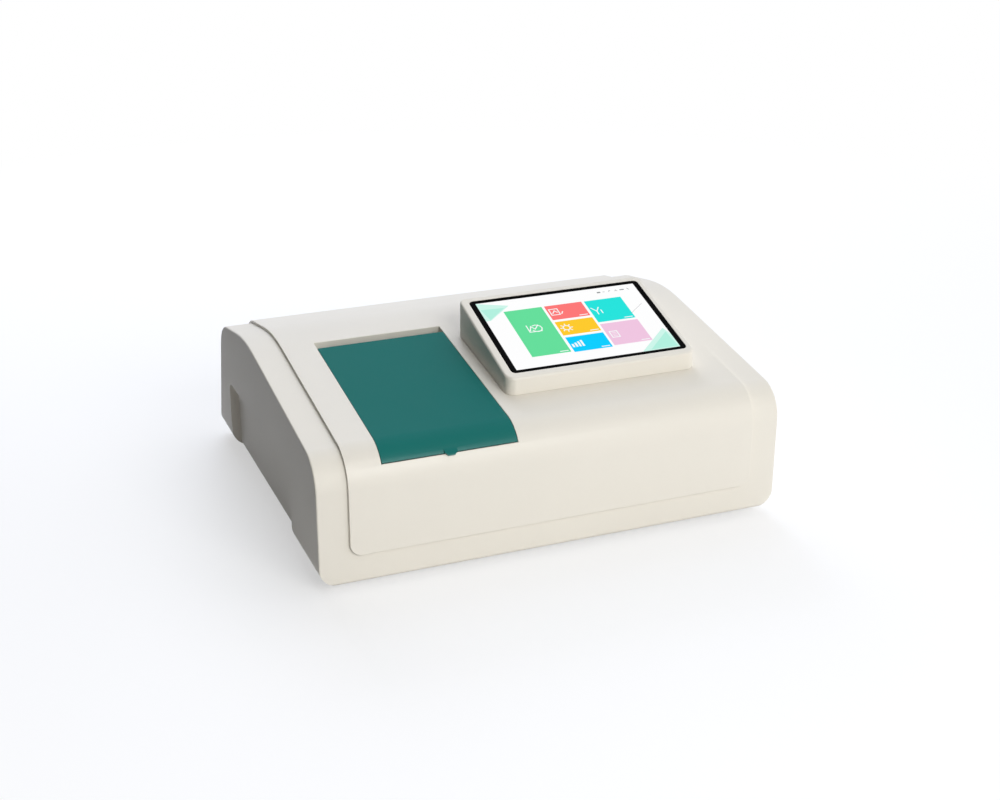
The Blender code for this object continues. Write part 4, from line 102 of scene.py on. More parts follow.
# Turns from a frame's Z axis to another direction
DOWN = Matrix.Rotation(math.pi, 4, "X")
LEFTWARD = Matrix.Rotation(-math.pi / 2, 4, "Y")
RIGHTWARD = Matrix.Rotation(math.pi / 2, 4, "Y")
FORWARD = Matrix.Rotation(math.pi / 2, 4, "X")
BACKWARD = Matrix.Rotation(-math.pi / 2, 4, "X")
CROSSWISE = Matrix(((0, 0, 1, 0), (1, 0, 0, 0), (0, 1, 0, 0), (0, 0, 0, 1)))

# Small numbers shared by the meshes
WELD = 0.00002
FLAT_ANGLE = math.radians(0.2)
SHARP_ANGLE = math.radians(32)
ROUND_SIDES = 32
SMALL_SIDES = 16
CORNER_STEPS = 5
SKIN = 0.00006


class Slot(Enum):
    """Material slots of the record."""

    CREAM = "cream"
    COVER = "cream_cover"
    TEAL = "teal"
    BLACK_PLASTIC = "black_plastic"
    RUBBER = "black_rubber"
    ANODISED = "black_anodised"
    SCREEN = "screen_black"
    STEEL = "steel"
    ALUMINIUM = "aluminium"
    SHEET = "sheet_metal"
    MIRROR = "mirror_coat"
    GLASS = "clear_glass"
    BOARD = "circuit_green"
    CERAMIC = "ceramic"


class Body(Enum):
    """Bodies of the frame that pieces ride on."""

    CASE = "case"
    LID = "lid"
    CHANGER = "cell_changer"
    SCREW = "drive_screw"
    GRATING = "grating"
    WHEEL = "filter_wheel"
    SOURCE = "source_mirror"
    ROCKER = "power_rocker"
    DRAWER = "fuse_drawer"


class Graph:
    """Adds shader nodes to a tree and joins them."""

    def __init__(self, tree: Tree) -> None:
        """Keep the tree that is added to."""
        self.tree = tree

    def add(self, kind: str, inputs: dict | None = None, **settings: object) -> bpy.types.Node:
        """Add one node.

        Args:
            kind: Node type after the word ShaderNode.
            inputs: Input names or numbers, each with a value or an output to join.
            settings: Properties of the node itself.

        Returns:
            The new node.
        """
        node = self.tree.nodes.new("ShaderNode" + kind)
        for key, value in settings.items():
            setattr(node, key, value)
        for key, value in (inputs or {}).items():
            self.feed(node.inputs[key], value)
        return node

    def feed(self, socket: Socket, value: object) -> None:
        """Set a socket, or join an output to it.

        Args:
            socket: Input socket.
            value: Output socket, number, colour or vector.
        """
        if isinstance(value, Socket):
            self.tree.links.new(value, socket)
        elif socket.type == "RGBA":
            socket.default_value = (*value[:3], 1)
        else:
            socket.default_value = value

    def shared(self, tree: Tree, inputs: dict) -> bpy.types.bpy_prop_collection:
        """Place a shared group and return its outputs."""
        return self.add("Group", inputs, node_tree=tree).outputs

    def math(self, operation: str, first: object, second: object = 0.0) -> Socket:
        """Return the result of one sum on two values or outputs."""
        return self.add("Math", {0: first, 1: second}, operation=operation).outputs[0]

    def times(self, first: object, second: object) -> Socket:
        """Return the product of two values or outputs."""
        return self.math("MULTIPLY", first, second)

    def scaled(self, colour: object, factor: object) -> Socket:
        """Return a colour times a value."""
        return self.add("VectorMath", {0: colour, "Scale": factor}, operation="SCALE").outputs[0]

    def blend(self, factor: object, first: object, second: object) -> Socket:
        """Return a mix of two colours, with a share of the second one."""
        return self.add("Mix", {0: factor, 6: first, 7: second}, data_type="RGBA").outputs[2]

    def span(self, value: object, low: object, high: object, start: float = 0.0,
             end: float = 1.0) -> Socket:
        """Stretch a value from one range to another and keep it there.

        Args:
            value: Value or output.
            low: Result at the start.
            high: Result at the end.
            start: Start of the incoming range.
            end: End of the incoming range.

        Returns:
            The stretched value.
        """
        return self.add("MapRange", {"Value": value, "From Min": start, "From Max": end,
                                     "To Min": low, "To Max": high}).outputs[0]

    def place(self) -> Socket:
        """Return the place on the piece in metres, which moves with it."""
        return self.add("TexCoord").outputs["Object"]

    def noise(self, scale: object, detail: float, distortion: float = 0.0,
              vector: Socket | None = None) -> Socket:
        """Return soft noise.

        Args:
            scale: Lumps to the metre.
            detail: Finer layers that are added.
            distortion: How far the lumps are bent.
            vector: Place that is read, else the place on the piece.

        Returns:
            The noise from 0 to 1.
        """
        return self.add("TexNoise", {"Vector": vector or self.place(), "Scale": scale, "Detail": detail,
                                     "Distortion": distortion}).outputs[0]


class Group(Graph):
    """Node group that several finishes share."""

    def __init__(self, name: str, inputs: dict[str, object]) -> None:
        """Start the group.

        Args:
            name: Name of the group.
            inputs: Input names with their first values; a tuple is a colour, a Vector a vector.
        """
        super().__init__(bpy.data.node_groups.new(name, "ShaderNodeTree"))
        for label, value in inputs.items():
            kind = {tuple: "Color", Vector: "Vector"}.get(type(value), "Float")
            socket = self.tree.interface.new_socket(label, in_out="INPUT", socket_type="NodeSocket" + kind)
            socket.default_value = (*value, 1) if kind == "Color" else value
        self.given = self.tree.nodes.new("NodeGroupInput").outputs

    def close(self, results: dict[str, Socket]) -> Tree:
        """Name and join the results; the one called Colour is a colour, the others are numbers.

        Args:
            results: Result names with their outputs.

        Returns:
            The finished group.
        """
        for label in results:
            kind = "Color" if label == "Colour" else "Float"
            self.tree.interface.new_socket(label, in_out="OUTPUT", socket_type="NodeSocket" + kind)
        end = self.tree.nodes.new("NodeGroupOutput")
        for label, value in results.items():
            self.feed(end.inputs[label], value)
        return self.tree


class Effects:
    """Shader node groups that several finishes share, each built once."""

    def __init__(self) -> None:
        """Build every group."""
        self.tone = self._tone()
        self.grain = self._grain()
        self.dust = self._dust()
        self.lines = self._lines()
        self.marks = self._marks()
        self.copper = self._copper()
        self.grooves = self._grooves()
        self.parts = self._parts()

    @staticmethod
    def _tone() -> Tree:
        """Return the group that lets a colour drift slightly over the surface."""
        group = Group("Tone drift", {"Colour": (0.5, 0.5, 0.5), "Spread": 0.04, "Scale": 9.0})
        broad = group.noise(group.given["Scale"], 3.0, 0.4)
        fine = group.noise(group.times(group.given["Scale"], 31.0), 2.0)
        both = group.math("ADD", group.times(broad, 0.7), group.times(fine, 0.3))
        swing = group.times(group.math("SUBTRACT", both, 0.5), group.given["Spread"])
        shade = group.math("ADD", group.times(swing, 2.0), 1.0)
        return group.close({"Colour": group.scaled(group.given["Colour"], shade)})

    @staticmethod
    def _grain() -> Tree:
        """Return the group of the fine spark-eroded grain of a mould, or of a coat's skin."""
        group = Group("Moulded grain", {"Size": 0.0005, "Cells": 0.4})
        scale = group.math("DIVIDE", 1.0, group.given["Size"])
        soft = group.noise(scale, 3.0)
        pits = group.add("TexVoronoi", {"Vector": group.place(), "Scale": scale}, feature="SMOOTH_F1")
        height = group.math("ADD", group.times(pits.outputs["Distance"], group.given["Cells"]), soft)
        return group.close({"Height": height, "Mask": group.span(soft, 0.0, 1.0, 0.3, 0.7)})

    @staticmethod
    def _dust() -> Tree:
        """Return the group that lays a little dust on what faces up."""
        group = Group("Settled dust", {"Colour": (0.5, 0.5, 0.5), "Dust": (0.62, 0.60, 0.56), "Amount": 0.1})
        facing = group.add("SeparateXYZ", {0: group.add("NewGeometry").outputs["Normal"]}).outputs["Z"]
        upward = group.span(facing, 0.0, 1.0, 0.55, 0.98)
        cloud = group.span(group.noise(38.0, 6.0, 0.6), 0.0, 1.0, 0.35, 0.75)
        mask = group.times(group.times(upward, cloud), group.given["Amount"])
        return group.close({"Colour": group.blend(mask, group.given["Colour"], group.given["Dust"]),
                            "Mask": mask})

    @staticmethod
    def _lines() -> Tree:
        """Return the group of fine lines that brushing, drawing or turning leaves."""
        group = Group("Brushed lines", {"Stretch": Vector((40.0, 4000.0, 4000.0))})
        drawn = group.add("VectorMath", {0: group.place(), 1: group.given["Stretch"]}, operation="MULTIPLY")
        lines = group.noise(1.0, 4.0, 0.1, drawn.outputs[0])
        return group.close({"Height": lines, "Mask": group.span(lines, 0.0, 1.0, 0.25, 0.75)})

    @staticmethod
    def _marks() -> Tree:
        """Return the group of faint smears and rubbed spots that handling leaves."""
        group = Group("Handling marks", {"Scale": 24.0, "Amount": 0.5})
        smear = group.noise(group.given["Scale"], 5.0, 1.2)
        spots = group.noise(group.times(group.given["Scale"], 7.0), 3.0)
        mask = group.times(group.span(smear, 0.0, 1.0, 0.40, 0.72), group.span(spots, 0.4, 1.0, 0.3, 0.7))
        return group.close({"Mask": group.times(mask, group.given["Amount"])})

    @staticmethod
    def _copper() -> Tree:
        """Return the group of copper tracks and bright pads on a circuit board."""
        group = Group("Circuit tracks", {"Mask": (0.02, 0.12, 0.06), "Track": (0.05, 0.26, 0.12),
                                         "Pad": (0.75, 0.72, 0.62), "Scale": 90.0})
        grid = group.add("TexBrick", {"Vector": group.place(), "Scale": group.given["Scale"],
                                      "Color1": (0, 0, 0), "Color2": (0, 0, 0), "Mortar": (1, 1, 1),
                                      "Mortar Size": 0.035, "Brick Width": 0.9, "Row Height": 0.16})
        track = group.add("RGBToBW", {0: grid.outputs["Color"]}).outputs[0]
        track = group.times(track, group.span(group.noise(60.0, 1.0), 0.0, 1.0, 0.47, 0.50))
        dots = group.add("TexVoronoi", {"Vector": group.place(), "Scale": 330.0, "Randomness": 0.35})
        pad = group.math("LESS_THAN", dots.outputs["Distance"], 0.22)
        pad = group.times(pad, group.span(group.noise(75.0, 1.0), 1.0, 0.0, 0.42, 0.45))
        colour = group.blend(track, group.given["Mask"], group.given["Track"])
        return group.close({"Colour": group.blend(pad, colour, group.given["Pad"]),
                            "Height": group.math("MAXIMUM", track, pad), "Metal": pad})

    @staticmethod
    def _grooves() -> Tree:
        """Return the group of the ruled lines of a grating, with a painted rainbow reflection laid over them
        in faint stripes of colour.
        """
        group = Group("Ruled grooves with painted rainbow", {"Colour": (0.9, 0.9, 0.92), "Pitch": 0.0004, "Tint": 0.35})
        parts = group.add("SeparateXYZ", {0: group.place()})
        along = group.math("ADD", parts.outputs["X"], parts.outputs["Y"])
        turns = group.math("DIVIDE", along, group.given["Pitch"])
        # The hue stripes are a painted reflection: the rainbow that the grooves throw back, fixed into the
        # colour.
        hue = group.math("FRACT", group.times(turns, 0.011))
        painted_rainbow = group.add("CombineColor", {0: hue, 1: 0.55, 2: 0.95}, mode="HSV").outputs[0]
        return group.close({"Colour": group.blend(group.given["Tint"], group.given["Colour"], painted_rainbow),
                            "Height": group.math("FRACT", turns)})

    @staticmethod
    def _parts() -> Tree:
        """Return the group that tells raised parts from the board they stand on."""
        group = Group("Raised parts", {"Board": (0.02, 0.12, 0.06), "Parts": (0.012, 0.012, 0.013),
                                       "Along": Vector((0, 0, 1)), "Level": 0.0})
        rise = group.add("VectorMath", {0: group.place(), 1: group.given["Along"]}, operation="DOT_PRODUCT")
        mask = group.math("GREATER_THAN", rise.outputs["Value"], group.given["Level"])
        return group.close({"Colour": group.blend(mask, group.given["Board"], group.given["Parts"]),
                            "Mask": mask})


@dataclass(frozen=True)
class Finish:
    """Moulded or coated surface, and the start of every other finish."""

    name: str
    slot: Slot
    colour: Colour
    smooth: float
    rough: float
    specular: float = 0.5
    metallic: float = 0.0
    grain: float = 0.0006
    cells: float = 0.4
    rise: float = 0.00001
    spread: float = 0.03
    dust: float = 0.0

    def build(self, effects: Effects) -> bpy.types.Material:
        """Make the material of this finish.

        Args:
            effects: Shared groups.

        Returns:
            The material.
        """
        material = bpy.data.materials.new(self.name)
        material.use_nodes = True
        shader = material.node_tree.nodes["Principled BSDF"]
        graph = Graph(material.node_tree)
        values = {"Metallic": self.metallic, "Specular IOR Level": self.specular}
        for label, value in (values | self.dress(graph, effects)).items():
            graph.feed(shader.inputs[label], value)
        return material

    def dress(self, graph: Graph, effects: Effects) -> dict[str, object]:
        """Work out what the shader is fed, here from colour, gloss and grain.

        Args:
            graph: Graph of the material.
            effects: Shared groups.

        Returns:
            Input names with their values or outputs.
        """
        grain = graph.shared(effects.grain, {"Size": self.grain, "Cells": self.cells})
        marks = graph.shared(effects.marks, {"Amount": 0.7})
        gloss = graph.math("MAXIMUM", marks["Mask"], graph.times(grain["Mask"], 0.4))
        return self.surface(graph, self.coloured(graph, effects), gloss, grain["Height"])

    def coloured(self, graph: Graph, effects: Effects) -> Socket:
        """Join the colour's drift, and dust where the finish has any.

        Args:
            graph: Graph of the material.
            effects: Shared groups.

        Returns:
            The colour.
        """
        tone = graph.shared(effects.tone, {"Colour": self.colour, "Spread": self.spread})["Colour"]
        if not self.dust:
            return tone
        return graph.shared(effects.dust, {"Colour": tone, "Amount": self.dust})["Colour"]

    def surface(self, graph: Graph, colour: Socket, gloss: Socket, height: Socket) -> dict[str, object]:
        """Join what every finish has.

        Args:
            graph: Graph of the material.
            colour: Its colour.
            gloss: 0 where it is smooth to 1 where it is rough.
            height: Its relief, from 0 to 1.

        Returns:
            Input names of the shader with their outputs.
        """
        bump = graph.add("Bump", {"Height": height, "Distance": self.rise, "Strength": 1.0})
        return {"Base Color": colour, "Roughness": graph.span(gloss, self.smooth, self.rough),
                "Normal": bump.outputs[0]}


@dataclass(frozen=True)
class BrushedFinish(Finish):
    """Metal whose surface is brushed, drawn or turned in one direction."""

    stretch: tuple[float, float, float] = (40.0, 4000.0, 4000.0)

    def dress(self, graph: Graph, effects: Effects) -> dict[str, object]:
        """Work out colour, streaks and gloss.

        Args:
            graph: Graph of the material.
            effects: Shared groups.

        Returns:
            Input names with their values or outputs.
        """
        lines = graph.shared(effects.lines, {"Stretch": Vector(self.stretch)})
        marks = graph.shared(effects.marks, {"Amount": 0.5})
        both = graph.math("ADD", graph.times(lines["Mask"], 0.6), marks["Mask"])
        return self.surface(graph, self.coloured(graph, effects), both, lines["Height"])


@dataclass(frozen=True)
class ClearFinish(Finish):
    """Polished clear glass or silica."""

    ior: float = 1.46

    def dress(self, graph: Graph, effects: Effects) -> dict[str, object]:
        """Work out the glass's tint, smears and faint ripple.

        Args:
            graph: Graph of the material.
            effects: Shared groups.

        Returns:
            Input names with their values or outputs.
        """
        marks = graph.shared(effects.marks, {"Scale": 90.0, "Amount": 1.0})
        ripple = graph.shared(effects.grain, {"Size": self.grain, "Cells": 0.0})
        tint = self.coloured(graph, effects)
        return (self.surface(graph, tint, marks["Mask"], ripple["Height"])
                | {"Transmission Weight": 1.0, "IOR": self.ior})


@dataclass(frozen=True)
class GratingFinish(Finish):
    """Front-surface coating over the fine ruled grooves of a grating."""

    pitch: float = 0.0004

    def dress(self, graph: Graph, effects: Effects) -> dict[str, object]:
        """Work out the grooves and the rainbow reflection painted over them.

        Args:
            graph: Graph of the material.
            effects: Shared groups.

        Returns:
            Input names with their values or outputs.
        """
        ruled = graph.shared(effects.grooves, {"Colour": self.colour, "Pitch": self.pitch})
        marks = graph.shared(effects.marks, {"Amount": 1.0})
        # The colour fed here carries a painted rainbow reflection over the coating's own colour.
        return self.surface(graph, ruled["Colour"], marks["Mask"], ruled["Height"])


@dataclass(frozen=True)
class BoardFinish(Finish):
    """Circuit board with its tracks, and black parts above a level."""

    along: tuple[float, float, float] = (0, 0, 1)
    level: float = 1.0

    def dress(self, graph: Graph, effects: Effects) -> dict[str, object]:
        """Work out tracks, pads and raised parts.

        Args:
            graph: Graph of the material.
            effects: Shared groups.

        Returns:
            Input names with their values or outputs.
        """
        copper = graph.shared(effects.copper, {"Mask": self.colour})
        parts = graph.shared(effects.parts, {"Board": copper["Colour"], "Along": Vector(self.along),
                                             "Level": self.level})
        bare = graph.math("SUBTRACT", 1.0, parts["Mask"])
        return (self.surface(graph, parts["Colour"], parts["Mask"], graph.times(copper["Height"], bare))
                | {"Metallic": graph.times(copper["Metal"], bare)})


@dataclass(frozen=True)
class LitFinish(Finish):
    """Lit part of the screen's picture, seen through the cover glass."""

    glow: float = 0.94

    def dress(self, graph: Graph, effects: Effects) -> dict[str, object]:
        """Work out the lit colour, its fine dots and the smears on the glass.

        Args:
            graph: Graph of the material.
            effects: Shared groups.

        Returns:
            Input names with their values or outputs.
        """
        tone = graph.shared(effects.tone, {"Colour": self.colour, "Spread": self.spread, "Scale": 30.0})
        marks = graph.shared(effects.marks, {"Amount": 1.0})
        dots = graph.shared(effects.grain, {"Size": self.grain, "Cells": 0.2})
        dim = graph.blend(0.95, tone["Colour"], (0.0, 0.0, 0.0))
        return (self.surface(graph, dim, marks["Mask"], dots["Height"])
                | {"Emission Color": tone["Colour"], "Emission Strength": self.glow})


def at(frame: Matrix, x: float, y: float, z: float, spin: Matrix | None = None) -> Matrix:
    """Return a frame moved to a place in another, and turned there."""
    moved = frame @ Matrix.Translation((x, y, z))
    return moved @ spin if spin else moved


def grid(frame: Matrix, across: Iterable[float], along: Iterable[float], height: float,
         spin: Matrix | None = None) -> list[Matrix]:
    """Return frames at the crossings of two rows of places in another frame."""
    return [at(frame, x, y, height, spin) for x, y in product(across, along)]


def ends(low: float, high: float, inset: float) -> Spot:
    """Return the two places that lie inside both ends of a span."""
    return low + inset, high - inset


def around(x: float, y: float, half_x: float, half_y: float) -> tuple[Spot, Spot]:
    """Return the lower and upper corner of a rectangle round a place."""
    return (x - half_x, y - half_y), (x + half_x, y + half_y)


def arc(x: float, y: float, radius: float, turns: Iterable[float]) -> list[Spot]:
    """Return points on a circle at some angles."""
    return [(x + radius * math.cos(turn), y + radius * math.sin(turn)) for turn in turns]


def ring(frame: Matrix, reach: float | list[float], level: float, sides: int = ROUND_SIDES) -> list[Vector]:
    """Return a ring of points round a frame's Z axis.

    Args:
        frame: Frame that it stands in.
        reach: Radius, or one for each side.
        level: Height along the axis.
        sides: Points round the axis.

    Returns:
        The points.
    """
    reaches = reach if isinstance(reach, list) else [reach] * sides
    return [frame @ Vector((radius * math.cos(math.tau * side / sides),
                            radius * math.sin(math.tau * side / sides), level))
            for side, radius in enumerate(reaches)]


def drawn_in(outline: Outline, inset: float) -> list[Spot]:
    """Move every side of an outline inwards.

    Args:
        outline: Counter-clockwise points.
        inset: Distance moved.

    Returns:
        The smaller outline, with as many points.
    """
    result = []
    for number, point in enumerate(outline):
        here = Vector(point)
        first = (here - Vector(outline[number - 1])).normalized()
        second = (Vector(outline[(number + 1) % len(outline)]) - here).normalized()
        first, second = Vector((-first.y, first.x)), Vector((-second.y, second.x))
        step = (first + second) * (inset / max(1 + first.dot(second), 0.2))
        result.append((here.x + step.x, here.y + step.y))
    return result


def rounded(low: Spot, high: Spot, radius: float, steps: int = CORNER_STEPS) -> list[Spot]:
    """Return the outline of a rectangle with round corners.

    Args:
        low: Lower corner.
        high: Upper corner.
        radius: Radius of its corners.
        steps: Steps round each corner.

    Returns:
        Counter-clockwise points.
    """
    outline = []
    corners = ((high[0], high[1], -1, -1), (low[0], high[1], 1, -1), (low[0], low[1], 1, 1),
               (high[0], low[1], -1, 1))
    for number, (x, y, inward_x, inward_y) in enumerate(corners):
        for step in range(steps + 1):
            turn = math.pi / 2 * (number + step / steps)
            outline.append((x + radius * (inward_x + math.cos(turn)),
                            y + radius * (inward_y + math.sin(turn))))
    return outline


def convex(edge: Edge) -> bool:
    """Tell whether an edge stands out from the solid."""
    return edge.is_convex


class Shape:
    """Collects bodies in one mesh, in metres."""

    def __init__(self) -> None:
        """Start with an empty mesh."""
        self.mesh = bmesh.new()

    def loft(self, rings: Iterable[Sequence[Vector]], finish: int = 0) -> None:
        """Skin a row of equal rings and close both ends.

        Args:
            rings: Rings of points, each with as many points.
            finish: Number of the material.
        """
        rows = [[self.mesh.verts.new(point) for point in points] for points in rings]
        faces = [self.mesh.faces.new(rows[0][::-1]), self.mesh.faces.new(rows[-1])]
        for low, high in pairwise(rows):
            for number in range(len(low)):
                after = (number + 1) % len(low)
                faces.append(self.mesh.faces.new((low[number], low[after], high[after], high[number])))
        for face in faces:
            face.material_index = finish

    def prism(self, outline: Outline, low: float, high: float, frame: Matrix,
              edge: float = 0.0, finish: int = 0) -> None:
        """Add a flat-ended body from an outline, with its top edge rounded over.

        Args:
            outline: Points in the frame's XY plane, counter-clockwise.
            low: Lower end along the frame's Z.
            high: Upper end along the frame's Z.
            frame: Frame that it stands in.
            edge: Radius of the top edge.
            finish: Number of the material.
        """
        levels = [(low, 0.0)] if edge else [(low, 0.0), (high, 0.0)]
        for step in range(CORNER_STEPS if edge else 0):
            turn = math.pi / 2 * step / (CORNER_STEPS - 1)
            levels.append((high - edge + edge * math.sin(turn), edge * (1 - math.cos(turn))))
        outlines = [drawn_in(outline, inset) if inset else outline for _, inset in levels]
        self.loft([[frame @ Vector((*point, height)) for point in points]
                   for points, (height, _) in zip(outlines, levels)], finish)

    def brick(self, low: Spot, high: Spot, floor: float, top: float, frame: Matrix, edge: float) -> None:
        """Add a block with rounded upright corners and a rounded top edge.

        Args:
            low: Lower corner in the frame's plane.
            high: Upper corner in the frame's plane.
            floor: Lower end along the frame's Z.
            top: Upper end along the frame's Z.
            frame: Frame that it stands in.
            edge: Radius of corners and top edge.
        """
        self.prism(rounded(low, high, edge * 1.5, 3), floor, top, frame, edge)

    def turned(self, profile: Iterable[tuple[float | list[float], float]], frame: Matrix,
               sides: int = ROUND_SIDES, finish: int = 0) -> None:
        """Turn a profile round the frame's Z axis.

        Args:
            profile: Reaches and heights; a reach is a radius, or a list of one for each side.
            frame: Frame that it stands in.
            sides: Flats round the axis.
            finish: Number of the material.
        """
        self.loft([ring(frame, reach, height, sides) for reach, height in profile], finish)

    def hoop(self, profile: Iterable[Spot], frame: Matrix, sides: int = ROUND_SIDES) -> None:
        """Turn a closed profile round the frame's Z axis into a ring.

        Args:
            profile: Points of radius and height, round the section.
            frame: Frame that it stands in.
            sides: Flats round the axis.
        """
        columns = zip(*(ring(frame, radius, height, sides) for radius, height in profile))
        rows = [[self.mesh.verts.new(point) for point in column] for column in columns]
        for row, following in pairwise(rows + rows[:1]):
            for spot in range(len(row)):
                after = (spot + 1) % len(row)
                self.mesh.faces.new((row[spot], following[spot], following[after], row[after]))

    def washer(self, frame: Matrix, inner: float, outer: float, height: float) -> None:
        """Add a flat ring whose upper edges are broken.

        Args:
            frame: Frame of its seat, Z out of it.
            inner: Radius of its hole.
            outer: Radius of its rim.
            height: Its thickness.
        """
        edge = min(height, outer - inner) * 0.25
        self.hoop(((inner, 0), (outer, 0), (outer, height - edge), (outer - edge, height),
                   (inner + edge, height), (inner, height - edge)), frame)

    def tube(self, path: Sequence[Vector], radius: float, sides: int) -> None:
        """Run a round bar along a path.

        Args:
            path: Points of its middle line.
            radius: Radius of the bar.
            sides: Flats round it.
        """
        rings = []
        normal = None
        for number, point in enumerate(path):
            ahead = path[min(number + 1, len(path) - 1)] - path[max(number - 1, 0)]
            ahead.normalize()
            normal = normal or ahead.orthogonal()
            normal = (normal - ahead * normal.dot(ahead)).normalized()
            across = ahead.cross(normal)
            turns = (math.tau * side / sides for side in range(sides))
            rings.append([point + radius * (math.cos(turn) * normal + math.sin(turn) * across)
                          for turn in turns])
        self.loft(rings)

    def cap_screw(self, frame: Matrix, radius: float, height: float) -> None:
        """Add a cylinder head screw with a hexagon socket.

        Args:
            frame: Frame of the seat, Z out of it.
            radius: Radius of the head.
            height: Height of the head.
        """
        turns = [math.tau * side / ROUND_SIDES % (math.pi / 3) - math.pi / 6 for side in range(ROUND_SIDES)]
        socket = [radius * 0.5 / math.cos(turn) for turn in turns]
        self.turned(((radius, 0.0), (radius, height * 0.85), (radius * 0.9, height), (socket, height),
                     ([reach * 0.97 for reach in socket], height * 0.35)), frame)

    def screw(self, frame: Matrix, radius: float, height: float) -> None:
        """Add a domed screw head with a cross recess.

        Args:
            frame: Frame of the seat, Z out of it.
            radius: Radius of the head.
            height: Height of the head.
        """
        cross = []
        for side in range(ROUND_SIDES):
            turn = (math.tau * side / ROUND_SIDES + math.pi / 4) % (math.pi / 2) - math.pi / 4
            across = abs(math.sin(turn))
            reach = radius * 0.55 / math.cos(turn)
            cross.append(min(reach, radius * 0.16 / across) if across > WELD else reach)
        dome = [(radius * share, height * level)
                for share, level in ((1.0, 0.0), (1.0, 0.35), (0.92, 0.70), (0.72, 0.94))]
        recess = [([share * reach for reach in cross], height * level)
                  for share, level in ((1.0, 1.0), (0.8, 0.35), (0.25, 0.2))]
        self.turned(dome + recess, frame)

    def threaded(self, frame: Matrix, root: float, crest: float, lead: float, starts: int, low: float,
                 high: float) -> None:
        """Add a right-hand threaded bar along the frame's Z axis.

        Args:
            frame: Frame of the bar.
            root: Radius at the root of the thread.
            crest: Radius at its crest.
            lead: Advance in one turn.
            starts: Number of threads side by side.
            low: Lower end.
            high: Upper end.
        """
        count = int((high - low) / (lead / starts / 8))
        profile = []
        for number in range(count + 1):
            height = low + (high - low) * number / count
            phases = [starts * (height / lead - side / ROUND_SIDES) % 1.0 for side in range(ROUND_SIDES)]
            shares = [min(max(1.5 - abs(phase - 0.5) * 5.0, 0.0), 1.0) for phase in phases]
            profile.append(([root + (crest - root) * share for share in shares], height))
        self.turned(profile, frame)

    def can(self, frame: Matrix, radius: float, height: float, foot: Sequence[Spot], edge: float) -> None:
        """Add an upright can with a bead near its foot and a sunk round in its top.

        Args:
            frame: Frame that it stands in.
            radius: Radius of the can.
            height: Level of its top.
            foot: Shares of the radius and levels at its foot and at the bead.
            edge: Width of the sloped edge at its top.
        """
        self.turned((*((radius * share, level) for share, level in foot), (radius, height - edge),
                     (radius - edge, height), (radius * 0.5, height), (radius * 0.45, height - edge / 2),
                     (0.0001, height - edge / 2)), frame)


@dataclass
class Workshop:
    """The frame and the finishes, with the ways to make a piece."""

    frame: dict
    finishes: dict[str, Finish]
    looks: dict[str, bpy.types.Material]

    def make(self, shape: Shape, name: str, *looks: str, body: Body = Body.CASE,
             replaced: str = "") -> bpy.types.Object:
        """Make a piece of a shape, put it on its body and hide the solid that it stands for.

        Args:
            shape: Shape of the piece.
            name: Name of the piece.
            looks: Its finishes, in the order of the shape's material numbers.
            body: Body that carries it.
            replaced: Solid that it stands for.

        Returns:
            The piece.
        """
        bmesh.ops.recalc_face_normals(shape.mesh, faces=shape.mesh.faces)
        data = bpy.data.meshes.new(name)
        shape.mesh.to_mesh(data)
        shape.mesh.free()
        for look in looks:
            data.materials.append(self.looks[look])
        data.shade_smooth()
        data.set_sharp_from_angle(angle=SHARP_ANGLE)
        piece = bpy.data.objects.new(name, data)
        bpy.context.scene.collection.objects.link(piece)
        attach(piece, body.value)
        if replaced:
            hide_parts(replaced)
        LOG.info("%s: %d faces on %s", name, len(data.polygons), body.value)
        return piece

    def heads(self, name: str, look: str, *rows: tuple[list[Matrix], float, float],
              body: Body = Body.CASE, capped: bool = False) -> None:
        """Make one piece of screw heads.

        Args:
            name: Name of the piece.
            look: Its finish.
            rows: Frames of equal seats, Z out of them, with radius and height of their heads.
            body: Body that carries it.
            capped: Whether they are cylinder heads, else domed ones.
        """
        shape = Shape()
        add = shape.cap_screw if capped else shape.screw
        for frames, radius, height in rows:
            for frame in frames:
                add(frame, radius, height)
        self.make(shape, name, look, body=body)

    def refine(self, node: str, name: str, look: str, radius: float, body: Body = Body.CASE,
               steps: int = 2, picks: Callable[[Edge], bool] = convex,
               settle: Callable[[Vector], Vector] = Vector) -> None:
        """Make a piece of a solid's copy, welded and with the edges that a test picks rounded over.

        Args:
            node: Solid that is copied, and that the piece stands for.
            name: Name of the new piece.
            look: Its finish.
            radius: Radius of its edges.
            body: Body that carries it.
            steps: Steps round each edge.
            picks: Test of an edge.
            settle: Gives each point its last place.
        """
        shape = Shape()
        mesh = shape.mesh
        mesh.from_mesh(self.frame["nodes"][node].data)
        bmesh.ops.remove_doubles(mesh, verts=mesh.verts, dist=WELD)
        for vertex in mesh.verts:
            vertex.co = settle(vertex.co)
        bmesh.ops.dissolve_limit(mesh, angle_limit=FLAT_ANGLE, verts=mesh.verts, edges=mesh.edges)
        chosen = [edge for edge in mesh.edges if len(edge.link_faces) == 2
                  and edge.calc_face_angle() > SHARP_ANGLE and picks(edge)]
        bmesh.ops.bevel(mesh, geom=chosen, offset=radius, segments=steps, profile=0.5, affect="EDGES",
                        clamp_overlap=True)
        for face in mesh.faces:
            face.material_index = 0
        piece = self.make(shape, name, look, body=body, replaced=node)
        piece.modifiers.new("Even shading", "WEIGHTED_NORMAL").keep_sharp = True


@dataclass
class Assembly:
    """Part of the instrument that is dressed in one go."""

    shop: Workshop


